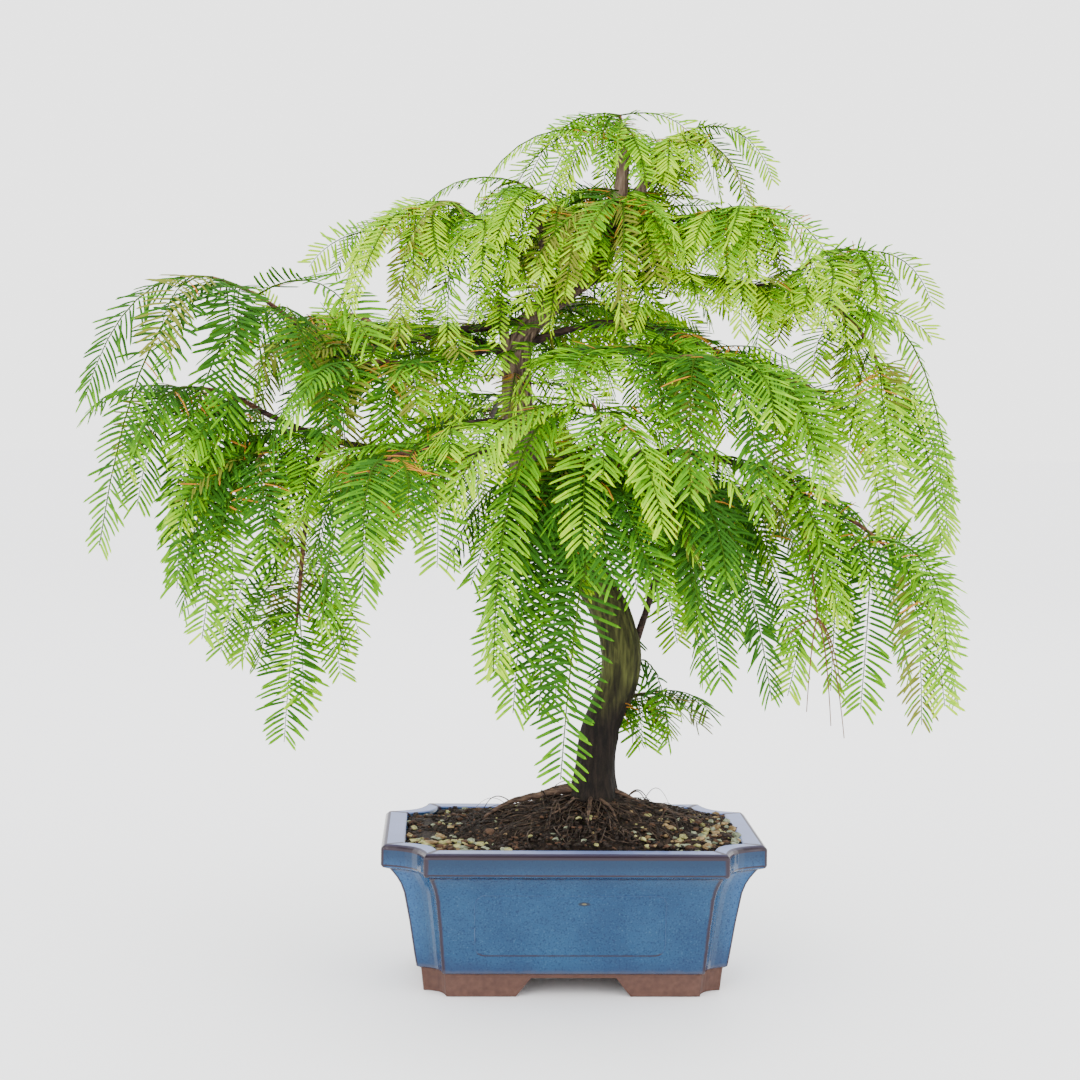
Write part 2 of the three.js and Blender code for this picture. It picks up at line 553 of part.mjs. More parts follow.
/**
 * A frond as one toothed blade: a three-sided rib along its arch, bare at its root, then with a pair of
 * teeth in each stretch. The teeth are longest in the middle. skip leaves out the first stretches.
 */
function frondSolid(curve, face, skip = 0) {
  const length = curve.getLength();
  const bare = BARE / length;
  const whole = Math.max(3, Math.round((length - BARE) / TOOTH_PITCH));
  const count = whole - skip;
  const stations = [0, ...evenly(whole).map((share) => bare + (1 - bare) * share)].slice(skip);
  const flat = towards(face + 90);
  const frame = (share) => {
    const along = curve.getTangent(share);
    const side = flat.clone().addScaledVector(along, -flat.dot(along)).normalize();
    return { centre: curve.getPoint(share), along, side, top: along.clone().cross(side) };
  };
  const points = stations.flatMap((share) => {
    const { centre, side, top } = frame(share);
    const size = 1 - 0.45 * share;
    return [
      centre.clone().addScaledVector(top, RIB_HEIGHT * size),
      centre.clone().addScaledVector(side, RIB_HALF * size),
      centre.clone().addScaledVector(side, -RIB_HALF * size),
    ];
  });
  const faces = [[0, 1, 2], [0, 3, 4], [0, 4, 1], [0, 2, 5], [0, 5, 3], [1, 4, 5], [1, 5, 2]];
  for (let k = 1; k <= count; k++) {
    const share = (stations[k] + stations[k + 1]) / 2;
    const { centre, along, side, top } = frame(share);
    const long = NEEDLE * (0.55 + 0.45 * Math.sin(Math.PI * share ** 0.8));
    const [ridge, left, right] = [3 * k, 3 * k + 1, 3 * k + 2];
    for (const [edge, turn] of [[left, 1], [right, -1]]) {
      const apex = points.length;
      points.push(centre.clone()
        .addScaledVector(side, turn * long * Math.cos(SWEEP * RAD))
        .addScaledVector(along, long * Math.sin(SWEEP * RAD))
        .addScaledVector(top, -DROOP * long));
      const tooth = [[ridge, ridge + 3, apex], [ridge, apex, edge], [ridge + 3, edge + 3, apex],
        [edge, apex, edge + 3]];
      faces.push(...tooth.map((corners) => (turn > 0 ? corners : corners.reverse())));
    }
    faces.push([left, left + 3, right + 3], [left, right + 3, right]);
  }
  const last = 3 * (count + 1);
  const tip = points.length;
  const { centre, along } = frame(1);
  points.push(centre.addScaledVector(along, TIP_SHARE * NEEDLE));
  faces.push([last, tip, last + 1], [last, last + 2, tip], [last + 1, tip, last + 2]);
  return solidOf(points, faces);
}

/** The arches of a mass's fronds: its leading ones, then those that the seeded rule adds. */
function frondRows({ stem, fill, leads }) {
  const [count, length, spread, seed] = fill;
  const random = seeded(seed);
  const rows = leads.map(([at, heading, reach, lift, rise, face = heading]) => (
    { at, heading, reach, lift, rise, face }));
  for (let k = 0; k < count; k++) {
    const at = 0.15 + (0.8 * (k + random())) / count;
    const hand = k % 2 ? 1 : -1;
    const heading = stem[3] + hand * spread * (1.05 - 0.6 * at) + 30 * (random() - 0.5);
    const long = length * (0.8 + 0.35 * random());
    const hang = 0.45 + 0.4 * random();
    const reach = long * Math.sqrt(1 - hang * hang);
    rows.push({ at, heading, reach, lift: -long * hang, rise: long * 0.1 * random(), face: heading });
  }
  return rows;
}

// Every solid set so far, with its owner: limbs, pot and soil first, then foliage. far is the part of a
// frond that lies beyond the crowd of roots along its stem.
const placed = [];

const outOf = (a, b, margin) => a.max.some((high, k) => high + margin < b.min[k])
  || b.max.some((high, k) => high + margin < a.min[k]);

function settle(solid, owner, far = solid) {
  placed.push({ solid, owner, far, bounds: solid.boundingBox() });
}

const clear = (a, b, gap) => a.minGap(b, 2 * GAP) >= gap;

/** Whether a frond keeps the clearance to everything that other nodes have placed. */
function fits(frond, { name, stem }) {
  const bounds = frond.boundingBox();
  return placed.every(({ solid, owner, bounds: theirs }) => owner === name || owner === stem[1]
    || outOf(bounds, theirs, GAP) || clear(frond, solid, GAP));
}

/** Whether a frond, beyond its root, keeps off the other fronds of its own mass. */
function keepsOff(far, { name }) {
  const bounds = far.boundingBox();
  return placed.every((other) => other.owner !== name || outOf(bounds, other.bounds, GAP)
    || clear(far, other.far, GAP / 3));
}

const TRIES = [0, 9, -9, 18, -18, 27, -27]; // degrees that a frond in the way is turned

function growStem(mass) {
  const [name, carrier, place, heading, reach, lift, rise] = mass.stem;
  mass.name = name;
  mass.curve = arch(startOn(carrier, place), heading, reach, lift, rise, 0.5);
  const twig = limbSolid(mass.curve, heading, STEM_THICK, STEM_THIN, STEM_SIDES, STEM_STEPS);
  mass.carrier = limbs.get(carrier).grown;
  mass.parts = [largest(twig.subtract(mass.carrier))];
  mass.rows = frondRows(mass);
}

/** Sets a frond on a mass's stem, turned as little as it takes, or leaves it out where none fits. */
function growFrond(mass, { at, heading, reach, lift, rise, face }, mayCross) {
  const shapes = TRIES.map((turn) => {
    const ahead = towards(heading + turn);
    const root = mass.curve.getPoint(at).addScaledVector(ahead, -SINK);
    const curve = arch(root, heading + turn, reach, lift, rise, 0.7);
    return [frondSolid(curve, face + turn), frondSolid(curve, face + turn, 1)];
  }).filter(([frond]) => fits(frond, mass));
  const best = shapes.find(([, far]) => keepsOff(far, mass)) ?? (mayCross ? shapes[0] : undefined);
  if (!best) return;
  mass.parts.push(best[0]);
  settle(best[0], mass.name, best[1]);
}

// ---------------------------------------------------------------- assembly

const plant = new THREE.Group();
plant.name = 'dawn_redwood_bonsai';

function addMesh(name, solid, material) {
  const { vertProperties, triVerts } = solid.getMesh();
  const geometry = new THREE.BufferGeometry();
  geometry.setAttribute('position', new THREE.BufferAttribute(vertProperties, 3));
  geometry.setIndex(new THREE.BufferAttribute(triVerts, 1));
  geometry.computeVertexNormals();
  const mesh = new THREE.Mesh(geometry, material.clone());
  mesh.name = name;
  plant.add(mesh);
}

const pot = makePot();
const soil = soilSolid();
const trunk = makeTrunk(soilSolid(TRUNK_LIFT));
limbs.set('trunk', { curve: trunkLine, solid: trunk, grown: trunkWood(LIMB_GAP) });
BOUGHS.forEach(makeBough);

addMesh('pot', pot, GLAZE);
addMesh('soil', soil, SOIL);
settle(pot, 'pot');
settle(soil, 'soil');
for (const [name, { solid }] of limbs) {
  addMesh(name, solid, name === 'trunk' ? OLD_BARK : YOUNG_BARK);
  settle(solid, name);
}

MASSES.forEach(growStem);
MASSES.forEach((mass) => settle(mass.parts[0], mass.name));
for (const mass of MASSES) {
  mass.rows.slice(0, mass.leads.length).forEach((row) => growFrond(mass, row, true));
}
for (const mass of MASSES) {
  mass.rows.slice(mass.leads.length).forEach((row) => growFrond(mass, row, false));
}
for (const mass of MASSES) {
  addMesh(mass.name, largest(wasm.Manifold.union(mass.parts).subtract(mass.carrier)), NEEDLES);
}

const bounds = new THREE.Box3().setFromObject(plant);
const middle = bounds.getCenter(v(0, 0, 0));
plant.position.set(-middle.x, -middle.y, -bounds.min.z);

export default plant;
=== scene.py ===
"""A weeping bonsai dawn redwood in a glazed rectangular pot with in-cut corners, on a pale floor.

Shapes are worked out in millimetres about the centre of the pot's underside, where +X is the viewer's
right and +Y is away from the viewer. They are moved to the frame, in metres, as each mesh is made.
"""

import itertools
import math

import bpy
import numpy as np
from mathutils import Matrix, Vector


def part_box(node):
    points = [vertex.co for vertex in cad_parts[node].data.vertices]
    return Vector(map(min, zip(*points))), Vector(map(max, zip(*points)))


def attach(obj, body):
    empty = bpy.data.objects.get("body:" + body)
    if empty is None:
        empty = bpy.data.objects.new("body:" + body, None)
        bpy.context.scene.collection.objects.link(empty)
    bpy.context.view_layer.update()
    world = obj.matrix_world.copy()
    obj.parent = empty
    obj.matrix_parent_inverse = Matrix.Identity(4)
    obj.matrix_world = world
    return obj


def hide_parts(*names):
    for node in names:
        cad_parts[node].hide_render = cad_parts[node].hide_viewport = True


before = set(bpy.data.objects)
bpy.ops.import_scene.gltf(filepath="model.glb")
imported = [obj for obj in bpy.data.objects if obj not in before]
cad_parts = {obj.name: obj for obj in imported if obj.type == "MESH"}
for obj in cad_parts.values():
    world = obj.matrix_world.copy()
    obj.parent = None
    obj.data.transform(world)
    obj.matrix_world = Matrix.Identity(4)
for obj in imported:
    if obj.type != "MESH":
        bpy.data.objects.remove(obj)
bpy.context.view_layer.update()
POT_LOW, POT_HIGH = (np.array(corner) * 1000 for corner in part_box("pot"))
CENTRE = np.array([*(POT_LOW + POT_HIGH)[:2] / 2, POT_LOW[2]])

# ---- pot and soil

RIM_WIDTH = 202.0
RIM_DEPTH = 146.0
POT_HEIGHT = 79.5
LIP_FLAT = 13.0
CUT_WIDTH = 22.5
CUT_DEPTH = 25.0
CUT_SHRINK = 48.0  # inset at which the in-cut corners would vanish
CUT_STEP = 3.0
CUT_HOLLOW = 3.5
FLOOR_TOP = 19.0
FOOT_HEIGHT = 10.0
FOOT_RING = 9.0
FOOT_SINK = 1.0  # how far the feet run up into the bowl
WINDOW_SLANT = 8.5
WINDOW_LONG = 60.0
WINDOW_SHORT = 36.0
DRAIN_RADIUS = 6.0
DRAIN_OFFSET = 42.0
GLAZE_FOOT = 12.5  # height at which the glaze ends and bare clay begins
PINHOLE = (4.4, 51.3)  # a pit in the glaze: to the right of the middle, and height

# Corners of the raised line on the long walls, seen from outside: to the right of the middle, and height.
PANEL = [(-52, 23), (47, 23), (47, 56), (-52, 56)]
PANEL_ROUND = 6.0
PANEL_THICK = 0.45
PANEL_SINK = 0.15

# The bowl from the middle of its underside, out, up the wall, over the lip and down inside: height and
# inset from the lip.
WALL = np.array([
    (FOOT_HEIGHT, 31), (FOOT_HEIGHT, 21.5), (12, 21.2), (13.2, 18.8), (20, 17.6), (37, 15), (53, 12),
    (58, 10.2), (61.5, 8.2), (64.5, 6), (66.4, 4.4), (67.4, 0.9), (68.6, 0), (77.6, 0), (POT_HEIGHT, 2.2),
    (POT_HEIGHT, LIP_FLAT - 1.4), (POT_HEIGHT - 1.6, LIP_FLAT), (66, LIP_FLAT + 2), (46, 23),
    (FLOOR_TOP, 29), (FLOOR_TOP, 34)])
SLOPE = slice(3, 8)  # its sloping side
LIP_UNDER, LIP_SIDE, LIP_TOP = 12, 13, 14  # its corners round the lip
ROUNDING = {1: 0.5, 3: 0.45, 11: 0.4, LIP_UNDER: 0.45, LIP_SIDE: 0.7, LIP_TOP: 0.7, 15: 0.6, 16: 0.6,
            19: 2.0}
GLAZE_THIN_AND_SHADE = {10: 0.5, LIP_UNDER: 0.6, LIP_SIDE: 0.75, LIP_TOP: 0.95}  # how far the glaze thins along these; at 10, the crease under the lip, the dark is painted shade
THIN_BETWEEN = 0.9  # and between the last two

SOIL_EDGE = 77.5
SOIL_TOP = 98.0
SOIL_FLAT = 8.0
SOIL_FOOT = 88.0
SOIL_LUMP = 1.3
GRAINS = 5600  # strewn over a rectangle; those inside the lip and clear of the trunk stay

# ---- trunk and boughs

# Bends of the trunk's centre line: height, x, y, radius.
TRUNK = np.array([
    [SOIL_TOP - 3, 11.5, 0, 10.6], [132, 15.5, 2, 10.2], [164, 26.5, 4, 10.6], [192, 22.5, 3, 10.4],
    [220, 6.5, 0, 9.8], [244, -13.5, -2, 9.2], [278, -26.5, -3, 8.5], [313, -31.5, 0, 7.8],
    [344, -28.5, 3, 7], [361, -15.5, 4, 5.8], [379, 9, 3, 5], [408, 20.5, 1, 4.2], [444.5, 25, 0, 2.8]])
TRUNK_FOOT = TRUNK[0, 1:3]
FLARE = 0.5
FLARE_HEIGHT = 11.0
FLARE_LOBES = 5
TRUNK_RINGS = 430
TRUNK_SIDES = 84
BARK_DEPTH = 0.055  # of its furrows, as a share of the trunk's radius

# Dead stubs on the trunk: height on it, heading, reach, lift, rise, root radius, tip radius.
STUBS = [(311, 178, 10, 52, 22, 3.2, 2.2), (364, 184, 10, 49, 20, 2.8, 2.6)]

# Surface roots: heading, reach, height of the middle over the soil, radius.
ROOTS = [(184, 58, 5, 2.3), (352, 26, 3, 1.5), (262, 40, 0.4, 2.4), (290, 34, 0.4, 2),
         (228, 36, 0.8, 1.9), (40, 40, 0.6, 2.1), (112, 42, 0.6, 2.2)]
ROOT_PROUD = 1.25  # share of its radius that a root shows where it stands clear of the soil
ROOT_BURIED = 0.65  # and where it lies in it
FINE_ROOTS = 480

# Boughs: name, what carries it, where (a height on the trunk, a share of a bough), heading, reach, lift,
# rise, root radius, tip radius. Then the short sprays that stand straight on it: how many, their length,
# tone, size of needle, and the least that they droop.
BOUGHS = [
    ("bough_left_upper", "trunk", 354, 188, 109, -22, -9, 2.5, 1.4, (30, 50, 2, 0.72, -0.7)),
    ("bough_left_inner", "trunk", 339, 203, 62, -12, -2, 2.1, 1.2, (11, 54, 1, 0.8, 0.0)),
    ("bough_left_lower", "trunk", 287, 183, 138, 16, -18, 2.8, 1.4, (14, 54, 1, 0.85, -0.1)),
    ("bough_left_twig", "bough_left_lower", 0.84, 232, 24, -8, 2, 1.3, 1.2, (7, 66, 1, 0.9, 0.5)),
    ("bough_left_hanging", "bough_left_lower", 0.76, 190, 11, -56, -12, 1.5, 1.2, (4, 40, 0, 0.85, 0.3)),
    ("bough_front_left", "trunk", 296, 234, 90, -12, 10, 2.2, 1.2, (13, 60, 2, 0.85, 0.0)),
    ("bough_front", "trunk", 274, 310, 74, -4, 14, 2.4, 1.4, (11, 92, -1, 1.05, 0.6)),
    ("bough_front_right", "trunk", 326, 325, 95, 6, 20, 2.2, 1.3, (24, 62, 1, 0.8, 0.1)),
    ("bough_right_upper", "trunk", 374, 354, 103, -7, 10, 2.4, 1.4, (29, 44, 3, 0.66, 0.0)),
    ("bough_right_outer", "bough_right_upper", 0.86, 4, 54, -15, 8, 1.3, 1.2, (7, 50, 3, 0.7, 0.1)),
    ("bough_right_mid", "trunk", 338, 352, 128, -16, 34, 2.1, 1.3, (16, 58, 1, 0.85, 0.1)),
    ("bough_right_lower", "trunk", 262, 351, 150, -4, 46, 2.5, 1.4, (14, 104, 1, 1.0, 0.65)),
    ("bough_right_shoulder", "trunk", 394, 342, 58, 16, 14, 1.7, 1.2, (26, 42, 2, 0.58, 0.0)),
    ("bough_top_right", "trunk", 398, 0, 26, 49, 14, 3, 2.8, (18, 38, 3, 0.6, -0.3)),
    ("bough_shoulder", "trunk", 369, 193, 62, 44, 24, 1.8, 1.2, (30, 56, 2, 0.7, 0.3)),
    ("bough_back_left", "trunk", 330, 136, 104, 18, 26, 2.2, 1.3, (12, 56, 2, 0.8, 0.1)),
    ("bough_back", "trunk", 306, 96, 108, -6, 16, 2.4, 1.3, (13, 58, 2, 0.8, 0.1)),
    ("bough_back_right", "trunk", 350, 62, 112, 8, 22, 2.2, 1.3, (13, 56, 2, 0.75, 0.1)),
    ("bough_back_low_right", "trunk", 256, 32, 104, 6, 22, 2.1, 1.2, (10, 70, 1, 0.9, 0.4)),
    ("bough_back_low_left", "trunk", 276, 126, 96, 4, 12, 2.1, 1.2, (10, 70, 1, 0.9, 0.4)),
    ("side_shoot", "trunk", 146, 14, 36, 104, 34, 2.2, 1.3, (5, 70, 0, 1.0, 0.5)),
]
SAWN = "bough_top_right"  # the leader that was sawn off, in old bark

# ---- foliage

BARE = 6.0  # bare length at the root of a frond
NEEDLE = 18.0
NEEDLE_PITCH = 2.95
NEEDLE_WIDE = 1.55
LONG_NEEDLE = 12.0  # past this length a needle gets one more ring
SWEEP = 14.0
SINK = 0.8  # how far a frond's root sinks into its stem
TWIG_THICK = 0.62  # radius at the root of a frond of 90
STEM_THICK = 1.5  # radii of a mass's stem at its root and tip
STEM_THIN = 0.7

# Masses of foliage. Stem: name, what carries it, where, heading, reach, lift, rise. Fill: how many fronds
# the seeded rule adds, their length, spread and seed. Then how many finer ones it adds past the mass's
# solid, the tone, from -1, deep green, to 4, bright, and the size of needle. Leading fronds: share of the
# stem, heading, reach, lift, rise and, where it isn't the heading, the way the face looks.
MASSES = [
    (("left_tip", "bough_left_upper", 1, 184, 62, 41, 34), (2, 78, 120, 11), 8, 0, 1.14,
     [(0.3, 308, 50, -95, 6), (0.62, 332, 70, -26, 24, 288), (0.92, 282, 34, -70, 6),
      (1, 187, 66, -64, 7, 240), (0.8, 197, 72, -136, 12, 225), (0.45, 205, 60, -120, 8, 235)]),
    (("left_mid", "bough_left_lower", 1, 182, 42, 12, 14), (2, 76, 75, 12), 7, 1, 1,
     [(1, 182, 50, -15, 6), (0.85, 215, 34, -62, 6, 245), (0.4, 265, 34, -70, 6),
      (0.75, 246, 26, -104, 2, 262), (0.25, 232, 30, -104, 0, 280)]),
    (("left_curtain", "bough_left_twig", 1, 232, 16, -12, -2), (1, 70, 90, 13), 9, 0, 1,
     [(0.5, 205, 44, -64, 6, 240), (1, 250, 22, -74, 2), (0.8, 300, 26, -60, 4),
      (0.9, 218, 32, -88, 2, 250), (0.7, 192, 40, -80, 4, 235)]),
    (("left_low", "bough_left_hanging", 1, 240, 6, -42, -20), (1, 62, 150, 14), 9, 1, 1,
     [(1, 245, 14, -62, -8), (0.75, 288, 14, -52, -4), (0.05, 188, 44, -56, 4, 225),
      (0.3, 200, 34, -50, 0), (0.5, 335, 28, -36, 2)]),
    (("left_inner", "bough_left_inner", 1, 205, 36, 0, 6), (2, 74, 80, 15), 6, 0, 1,
     [(0.3, 276, 36, -52, 6), (1, 200, 44, -50, 6, 240)]),
    (("left_belly", "bough_front_left", 1, 225, 34, -10, 2), (2, 78, 80, 16), 3, 0, 1,
     [(0.1, 300, 26, -56, 4), (1, 228, 32, -72, 6), (0.6, 245, 28, -66, 6), (0.9, 258, 18, -54, 2)]),
    (("front_shoot", "bough_front", 1, 233, 30, 40, 22), (2, 74, 110, 17), 10, 2, 1,
     [(0.95, 197, 76, -50, 10, 235), (0.96, 210, 58, -130, 12, 240), (0.9, 345, 72, -40, 12, 300),
      (0.6, 300, 44, -30, 10), (0.75, 250, 30, -60, 8, 265), (0.85, 20, 50, -36, 8, 300)]),
    (("front_hanging", "bough_front", 0.86, 271, 28, -2, 6), (1, 70, 80, 45), 5, -1, 1.2,
     [(1, 190, 27, -152, 8, 266), (0.8, 196, 62, -72, 6, 262), (0.5, 330, 50, -70, 6)]),
    (("front_low", "bough_front", 0.62, 236, 24, -12, 2), (1, 76, 70, 38), 1, -1, 1.1,
     [(1, 206, 38, -96, 4, 262), (0.7, 262, 12, -94, 0, 272), (0.3, 214, 30, -78, 2, 255),
      (0.9, 230, 20, -118, 2, 266), (1, 218, 32, -114, 2, 258), (0.5, 236, 16, -124, 0, 275)]),
    (("front_right_hanging", "bough_front", 0.78, 352, 22, 4, 4), (1, 80, 60, 19), 6, -1, 1.1,
     [(1, 352, 68, -122, 6, 290), (0.6, 320, 46, -84, 4), (0.9, 338, 46, -112, 4, 285)]),
    (("front_right", "bough_front_right", 1, 330, 38, -4, 6), (2, 78, 85, 20), 9, 1, 1,
     [(0.2, 282, 34, -66, 6), (0.8, 300, 34, -76, 6), (1, 338, 46, -62, 6, 300)]),
    (("right_high", "bough_right_upper", 1, 352, 42, 24, 30), (2, 58, 100, 21), 16, 3, 0.76,
     [(1, 2, 42, -28, 4, 325), (0.8, 268, 26, -48, 6), (0.25, 232, 44, -50, 8),
      (0.55, 318, 36, -50, 6, 300)]),
    (("right_far", "bough_right_outer", 1, 355, 24, -42, -10), (1, 70, 130, 22), 10, 3, 1,
     [(0.05, 358, 58, -98, 22, 320), (0.55, 236, 34, -68, 6), (1, 262, 28, -70, 2),
      (1, 335, 30, -80, 4, 290), (0.9, 350, 36, -86, 8, 295)]),
    (("right_mid", "bough_right_mid", 1, 350, 40, -14, 6), (2, 70, 100, 39), 6, 2, 1,
     [(1, 345, 28, -70, 6, 285), (0.6, 285, 24, -86, 4), (0.2, 270, 26, -78, 4, 290)]),
    (("right_low", "bough_right_lower", 1, 346, 42, -27, -6), (1, 90, 80, 23), 3, 1, 1,
     [(1, 350, 34, -76, -2), (0.3, 250, 18, -92, 2), (0.62, 258, 24, -92, 2), (0.85, 322, 38, -82, 2, 290),
      (1, 300, 24, -86, 2), (0.1, 225, 30, -98, 4, 270)]),
    (("side_hanging", "side_shoot", 1, 20, 18, 6, 8), (2, 80, 120, 24), 5, -1, 1,
     [(1, 345, 52, -84, 8, 290), (0.6, 30, 50, -80, 8)]),
    (("low_shoot", "trunk", 148, 44, 30, 2, 2), (1, 40, 70, 25), 9, 1, 1,
     [(1, 32, 44, -14, 4, 60), (0.7, 290, 10, -26, 0)]),
    (("top_leader", "trunk", 444, 175, 3, 18, 8), (1, 56, 150, 26), 14, 2, 0.64,
     [(1, 352, 44, -18, 6, 320), (1, 198, 46, -56, 2, 235), (0.7, 205, 34, -34, 4, 245),
      (0.72, 188, 64, -48, 4, 225), (0.9, 84, 48, -34, 6), (0.8, 136, 50, -40, 6),
      (0.3, 184, 80, -34, 18, 230), (1, 192, 38, -18, 5, 245), (0.85, 178, 50, -34, 12, 230)]),
    (("top_right", "bough_top_right", 1, 2, 14, 7, 5), (1, 52, 110, 27), 13, 3, 0.66,
     [(1, 355, 38, -12, 10, 320), (0.6, 346, 44, -40, 0, 310), (0.5, 28, 50, -38, 6),
      (0.9, 8, 50, -24, 14, 305)]),
    (("top_front", "trunk", 402, 272, 30, 14, 12), (2, 66, 90, 28), 26, 2, 0.66,
     [(1, 268, 26, -66, 4), (0.7, 305, 34, -42, 4), (0.6, 226, 42, -50, 6)]),
    (("top_left", "trunk", 392, 194, 50, 33, 22), (2, 60, 90, 29), 25, 2, 0.6,
     [(0.5, 252, 26, -66, 4), (1, 184, 58, -26, 10, 225), (0.7, 215, 46, -66, 4, 240),
      (0.9, 236, 26, -84, 4, 250), (0.35, 168, 46, -8, 16, 228), (0.62, 160, 42, 0, 12, 230)]),
    (("shoulder_left", "bough_shoulder", 1, 188, 36, -14, 4), (2, 68, 85, 30), 8, 3, 0.66,
     [(0.15, 272, 30, -74, 6), (1, 183, 42, -20, 0, 225), (0.8, 232, 42, -48, 0), (0.5, 250, 34, -72, 2),
      (1, 205, 28, -44, 0, 250)]),
    (("shoulder_right", "bough_right_shoulder", 1, 335, 22, 2, 4), (2, 60, 100, 31), 21, 2, 0.66,
     [(0.4, 275, 28, -66, 4), (1, 330, 36, -40, 4, 300), (0.85, 354, 52, -48, 2, 310)]),
    (("back_left", "bough_back_left", 1, 140, 42, 8, 14), (3, 84, 85, 32), 9, 1, 1,
     [(1, 146, 54, -66, 8), (0.5, 190, 56, -62, 8)]),
    (("back_mid", "bough_back", 1, 96, 40, 0, 8), (3, 84, 85, 33), 9, 1, 1,
     [(1, 92, 46, -84, 8), (0.4, 40, 48, -74, 8)]),
    (("back_right", "bough_back_right", 1, 66, 40, 4, 10), (3, 80, 85, 34), 9, 2, 1,
     [(1, 52, 54, -60, 8), (0.5, 16, 58, -58, 8)]),
    (("back_low_left", "bough_back_low_left", 1, 132, 38, -4, 6), (3, 78, 80, 35), 4, 1, 1,
     [(1, 140, 50, -66, 8), (0.5, 100, 50, -64, 8)]),
    (("back_low_right", "bough_back_low_right", 1, 30, 36, -4, 6), (3, 76, 80, 36), 9, 1, 1,
     [(1, 26, 50, -62, 8), (0.5, 70, 50, -62, 8)]),
    (("back_top", "trunk", 410, 98, 34, 16, 16), (3, 68, 100, 37), 21, 2, 0.64,
     [(1, 96, 44, -50, 8), (0.6, 150, 48, -44, 8)]),
]
# Young shoots with short bright needles on a mass's stem: where, heading, reach, lift, rise.
YOUNG_ON = "front_shoot"
YOUNG_SHOOTS = [(0.97, 190, 88, -30, 16), (0.8, 206, 60, -26, 12)]
YOUNG_TONE = 4
YOUNG_NEEDLE = 0.5
# Short sprays on the trunk: how many, from and to which height, their length, tone, size of needle, droop.
ON_TRUNK = (72, 318, 424, 48, 1, 0.64, -0.1)
GOLDEN_TURN = 137.5  # from each of them to the next, in degrees
FINER_LENGTH = 0.72  # of the finer fronds, as a share of the mass's own
FINER_NEEDLE = 0.86
# A withered stalk: what carries it, where, heading, reach, lift, rise. Its threads: heading, reach, lift.
STALK = ("bough_right_lower", 0.86, 300, 36, -70, -6)
THREADS = [(196, 19, -12), (230, 9, -48), (352, 8, -56), (345, 15, -62), (20, 15, -38)]
GROUPS = {"low": "side", "shoulder": "top"}  # parts of the crown that join another
AGED = {"right": 0.07, "front": 0.1}  # share of olive fronds, where it isn't the usual one
USUAL_AGED = 0.18

# ---- camera and light

CAMERA_AT = (-67.8, -1231.9, 320.5)  # from the centre of the pot's underside
CAMERA_TURN = 2.31  # degrees to the right of +Y
CAMERA_DIP = 3.94
CAMERA_ROLL = 0.65
FOCAL = 76.7
SENSOR = 36.0
WORLD_LIGHT = 2.9
FLOOR_RADIUS = 9000.0
FLOOR_DROP = 0.2
# Soft lamps: name, place and size in metres, power.
LAMPS = (("key", (-0.7, -1.5, 0.9), 1.0, 16), ("fill", (1.4, -1.2, 0.7), 0.9, 8),
         ("back", (0.3, 1.4, 1.5), 1.0, 8))
LAMPS_AIM = (0, 0, 0.25)

# ---- small tools

UP = np.array([0.0, 0.0, 1.0])


def towards(degrees):
    """Level unit vectors at headings counted from +X towards +Y."""
    turn = np.radians(degrees)
    return np.stack([np.cos(turn), np.sin(turn), np.zeros_like(turn)], -1)


def ring(count):
    """Level unit vectors all the way round, as many as that."""
    return towards(np.arange(count) * 360 / count)


def unit(vectors):
    return vectors / np.maximum(np.linalg.norm(vectors, axis=-1, keepdims=True), 1e-9)


def smoothstep(low, high, x):
    t = np.clip((x - low) / (high - low), 0, 1)
    return t * t * (3 - 2 * t)


def seeded(seed):
    """Random numbers from 0 to 1, in the order that the solids' rule draws them."""
    state = (seed * 2654435761) % 2 ** 32
    while True:
        state = (state * 1664525 + 1013904223) % 2 ** 32
        yield state / 2 ** 32


def noise(points, size, seed):
    """Smooth noise from -1 to 1: random values at the corners of cubes of that size, blended between
    the eight corners round each point with smoothed weights."""
    grid = np.random.default_rng(seed).uniform(-1, 1, 4096)
    at = points / size
    cell = np.floor(at).astype(np.int64)
    t = at - cell
    t = t * t * (3 - 2 * t)
    total = np.zeros(at.shape[:-1])
    for corner in np.ndindex(2, 2, 2):
        key = ((cell + corner) * np.array([73856093, 19349663, 83492791])).sum(-1)
        weight = np.where(np.array(corner) == 1, t, 1 - t).prod(-1)
        total += weight * grid[(key ^ (key >> 7)) % 4096]
    return total


def level_noise(x, y, size, seed):
    """Noise over a level plane."""
    return noise(np.stack(np.broadcast_arrays(x, y, 0.0), -1), size, seed)


def noise_round(path, reach, sides, size, seed):
    """Noise for the radii of a tube: at each station, as many values round it as the tube has sides."""
    return noise(path[:, None] + reach * ring(sides), size, seed)


def at_height(flat, height):
    """The points of a level outline, raised."""
    return np.column_stack([flat, np.broadcast_to(height, len(flat))])


def closed_grid(rings):
    """Points and triangles of a closed surface through rings, each end closed to its ring's middle."""
    rows, columns = rings.shape[:2]
    points = np.concatenate([rings.reshape(-1, 3), rings[[0, -1]].mean(1)])
    k = np.arange(columns)
    following = (k + 1) % columns
    starts = columns * np.arange(rows - 1)[:, None]
    a, b = (starts + k).ravel(), (starts + following).ravel()
    low = np.full(columns, rows * columns)
    last = (rows - 1) * columns
    faces = ((a, b, b + columns), (a, b + columns, a + columns), (low, following, k),
             (low + 1, last + k, last + following))
    return points, np.concatenate([np.stack(corners, 1) for corners in faces])


def joined(parts):
    """One set of points and triangles from several."""
    starts = np.cumsum([0] + [len(points) for points, _ in parts])
    points = np.concatenate([points for points, _ in parts])
    return points, np.concatenate([faces + start for (_, faces), start in zip(parts, starts)])


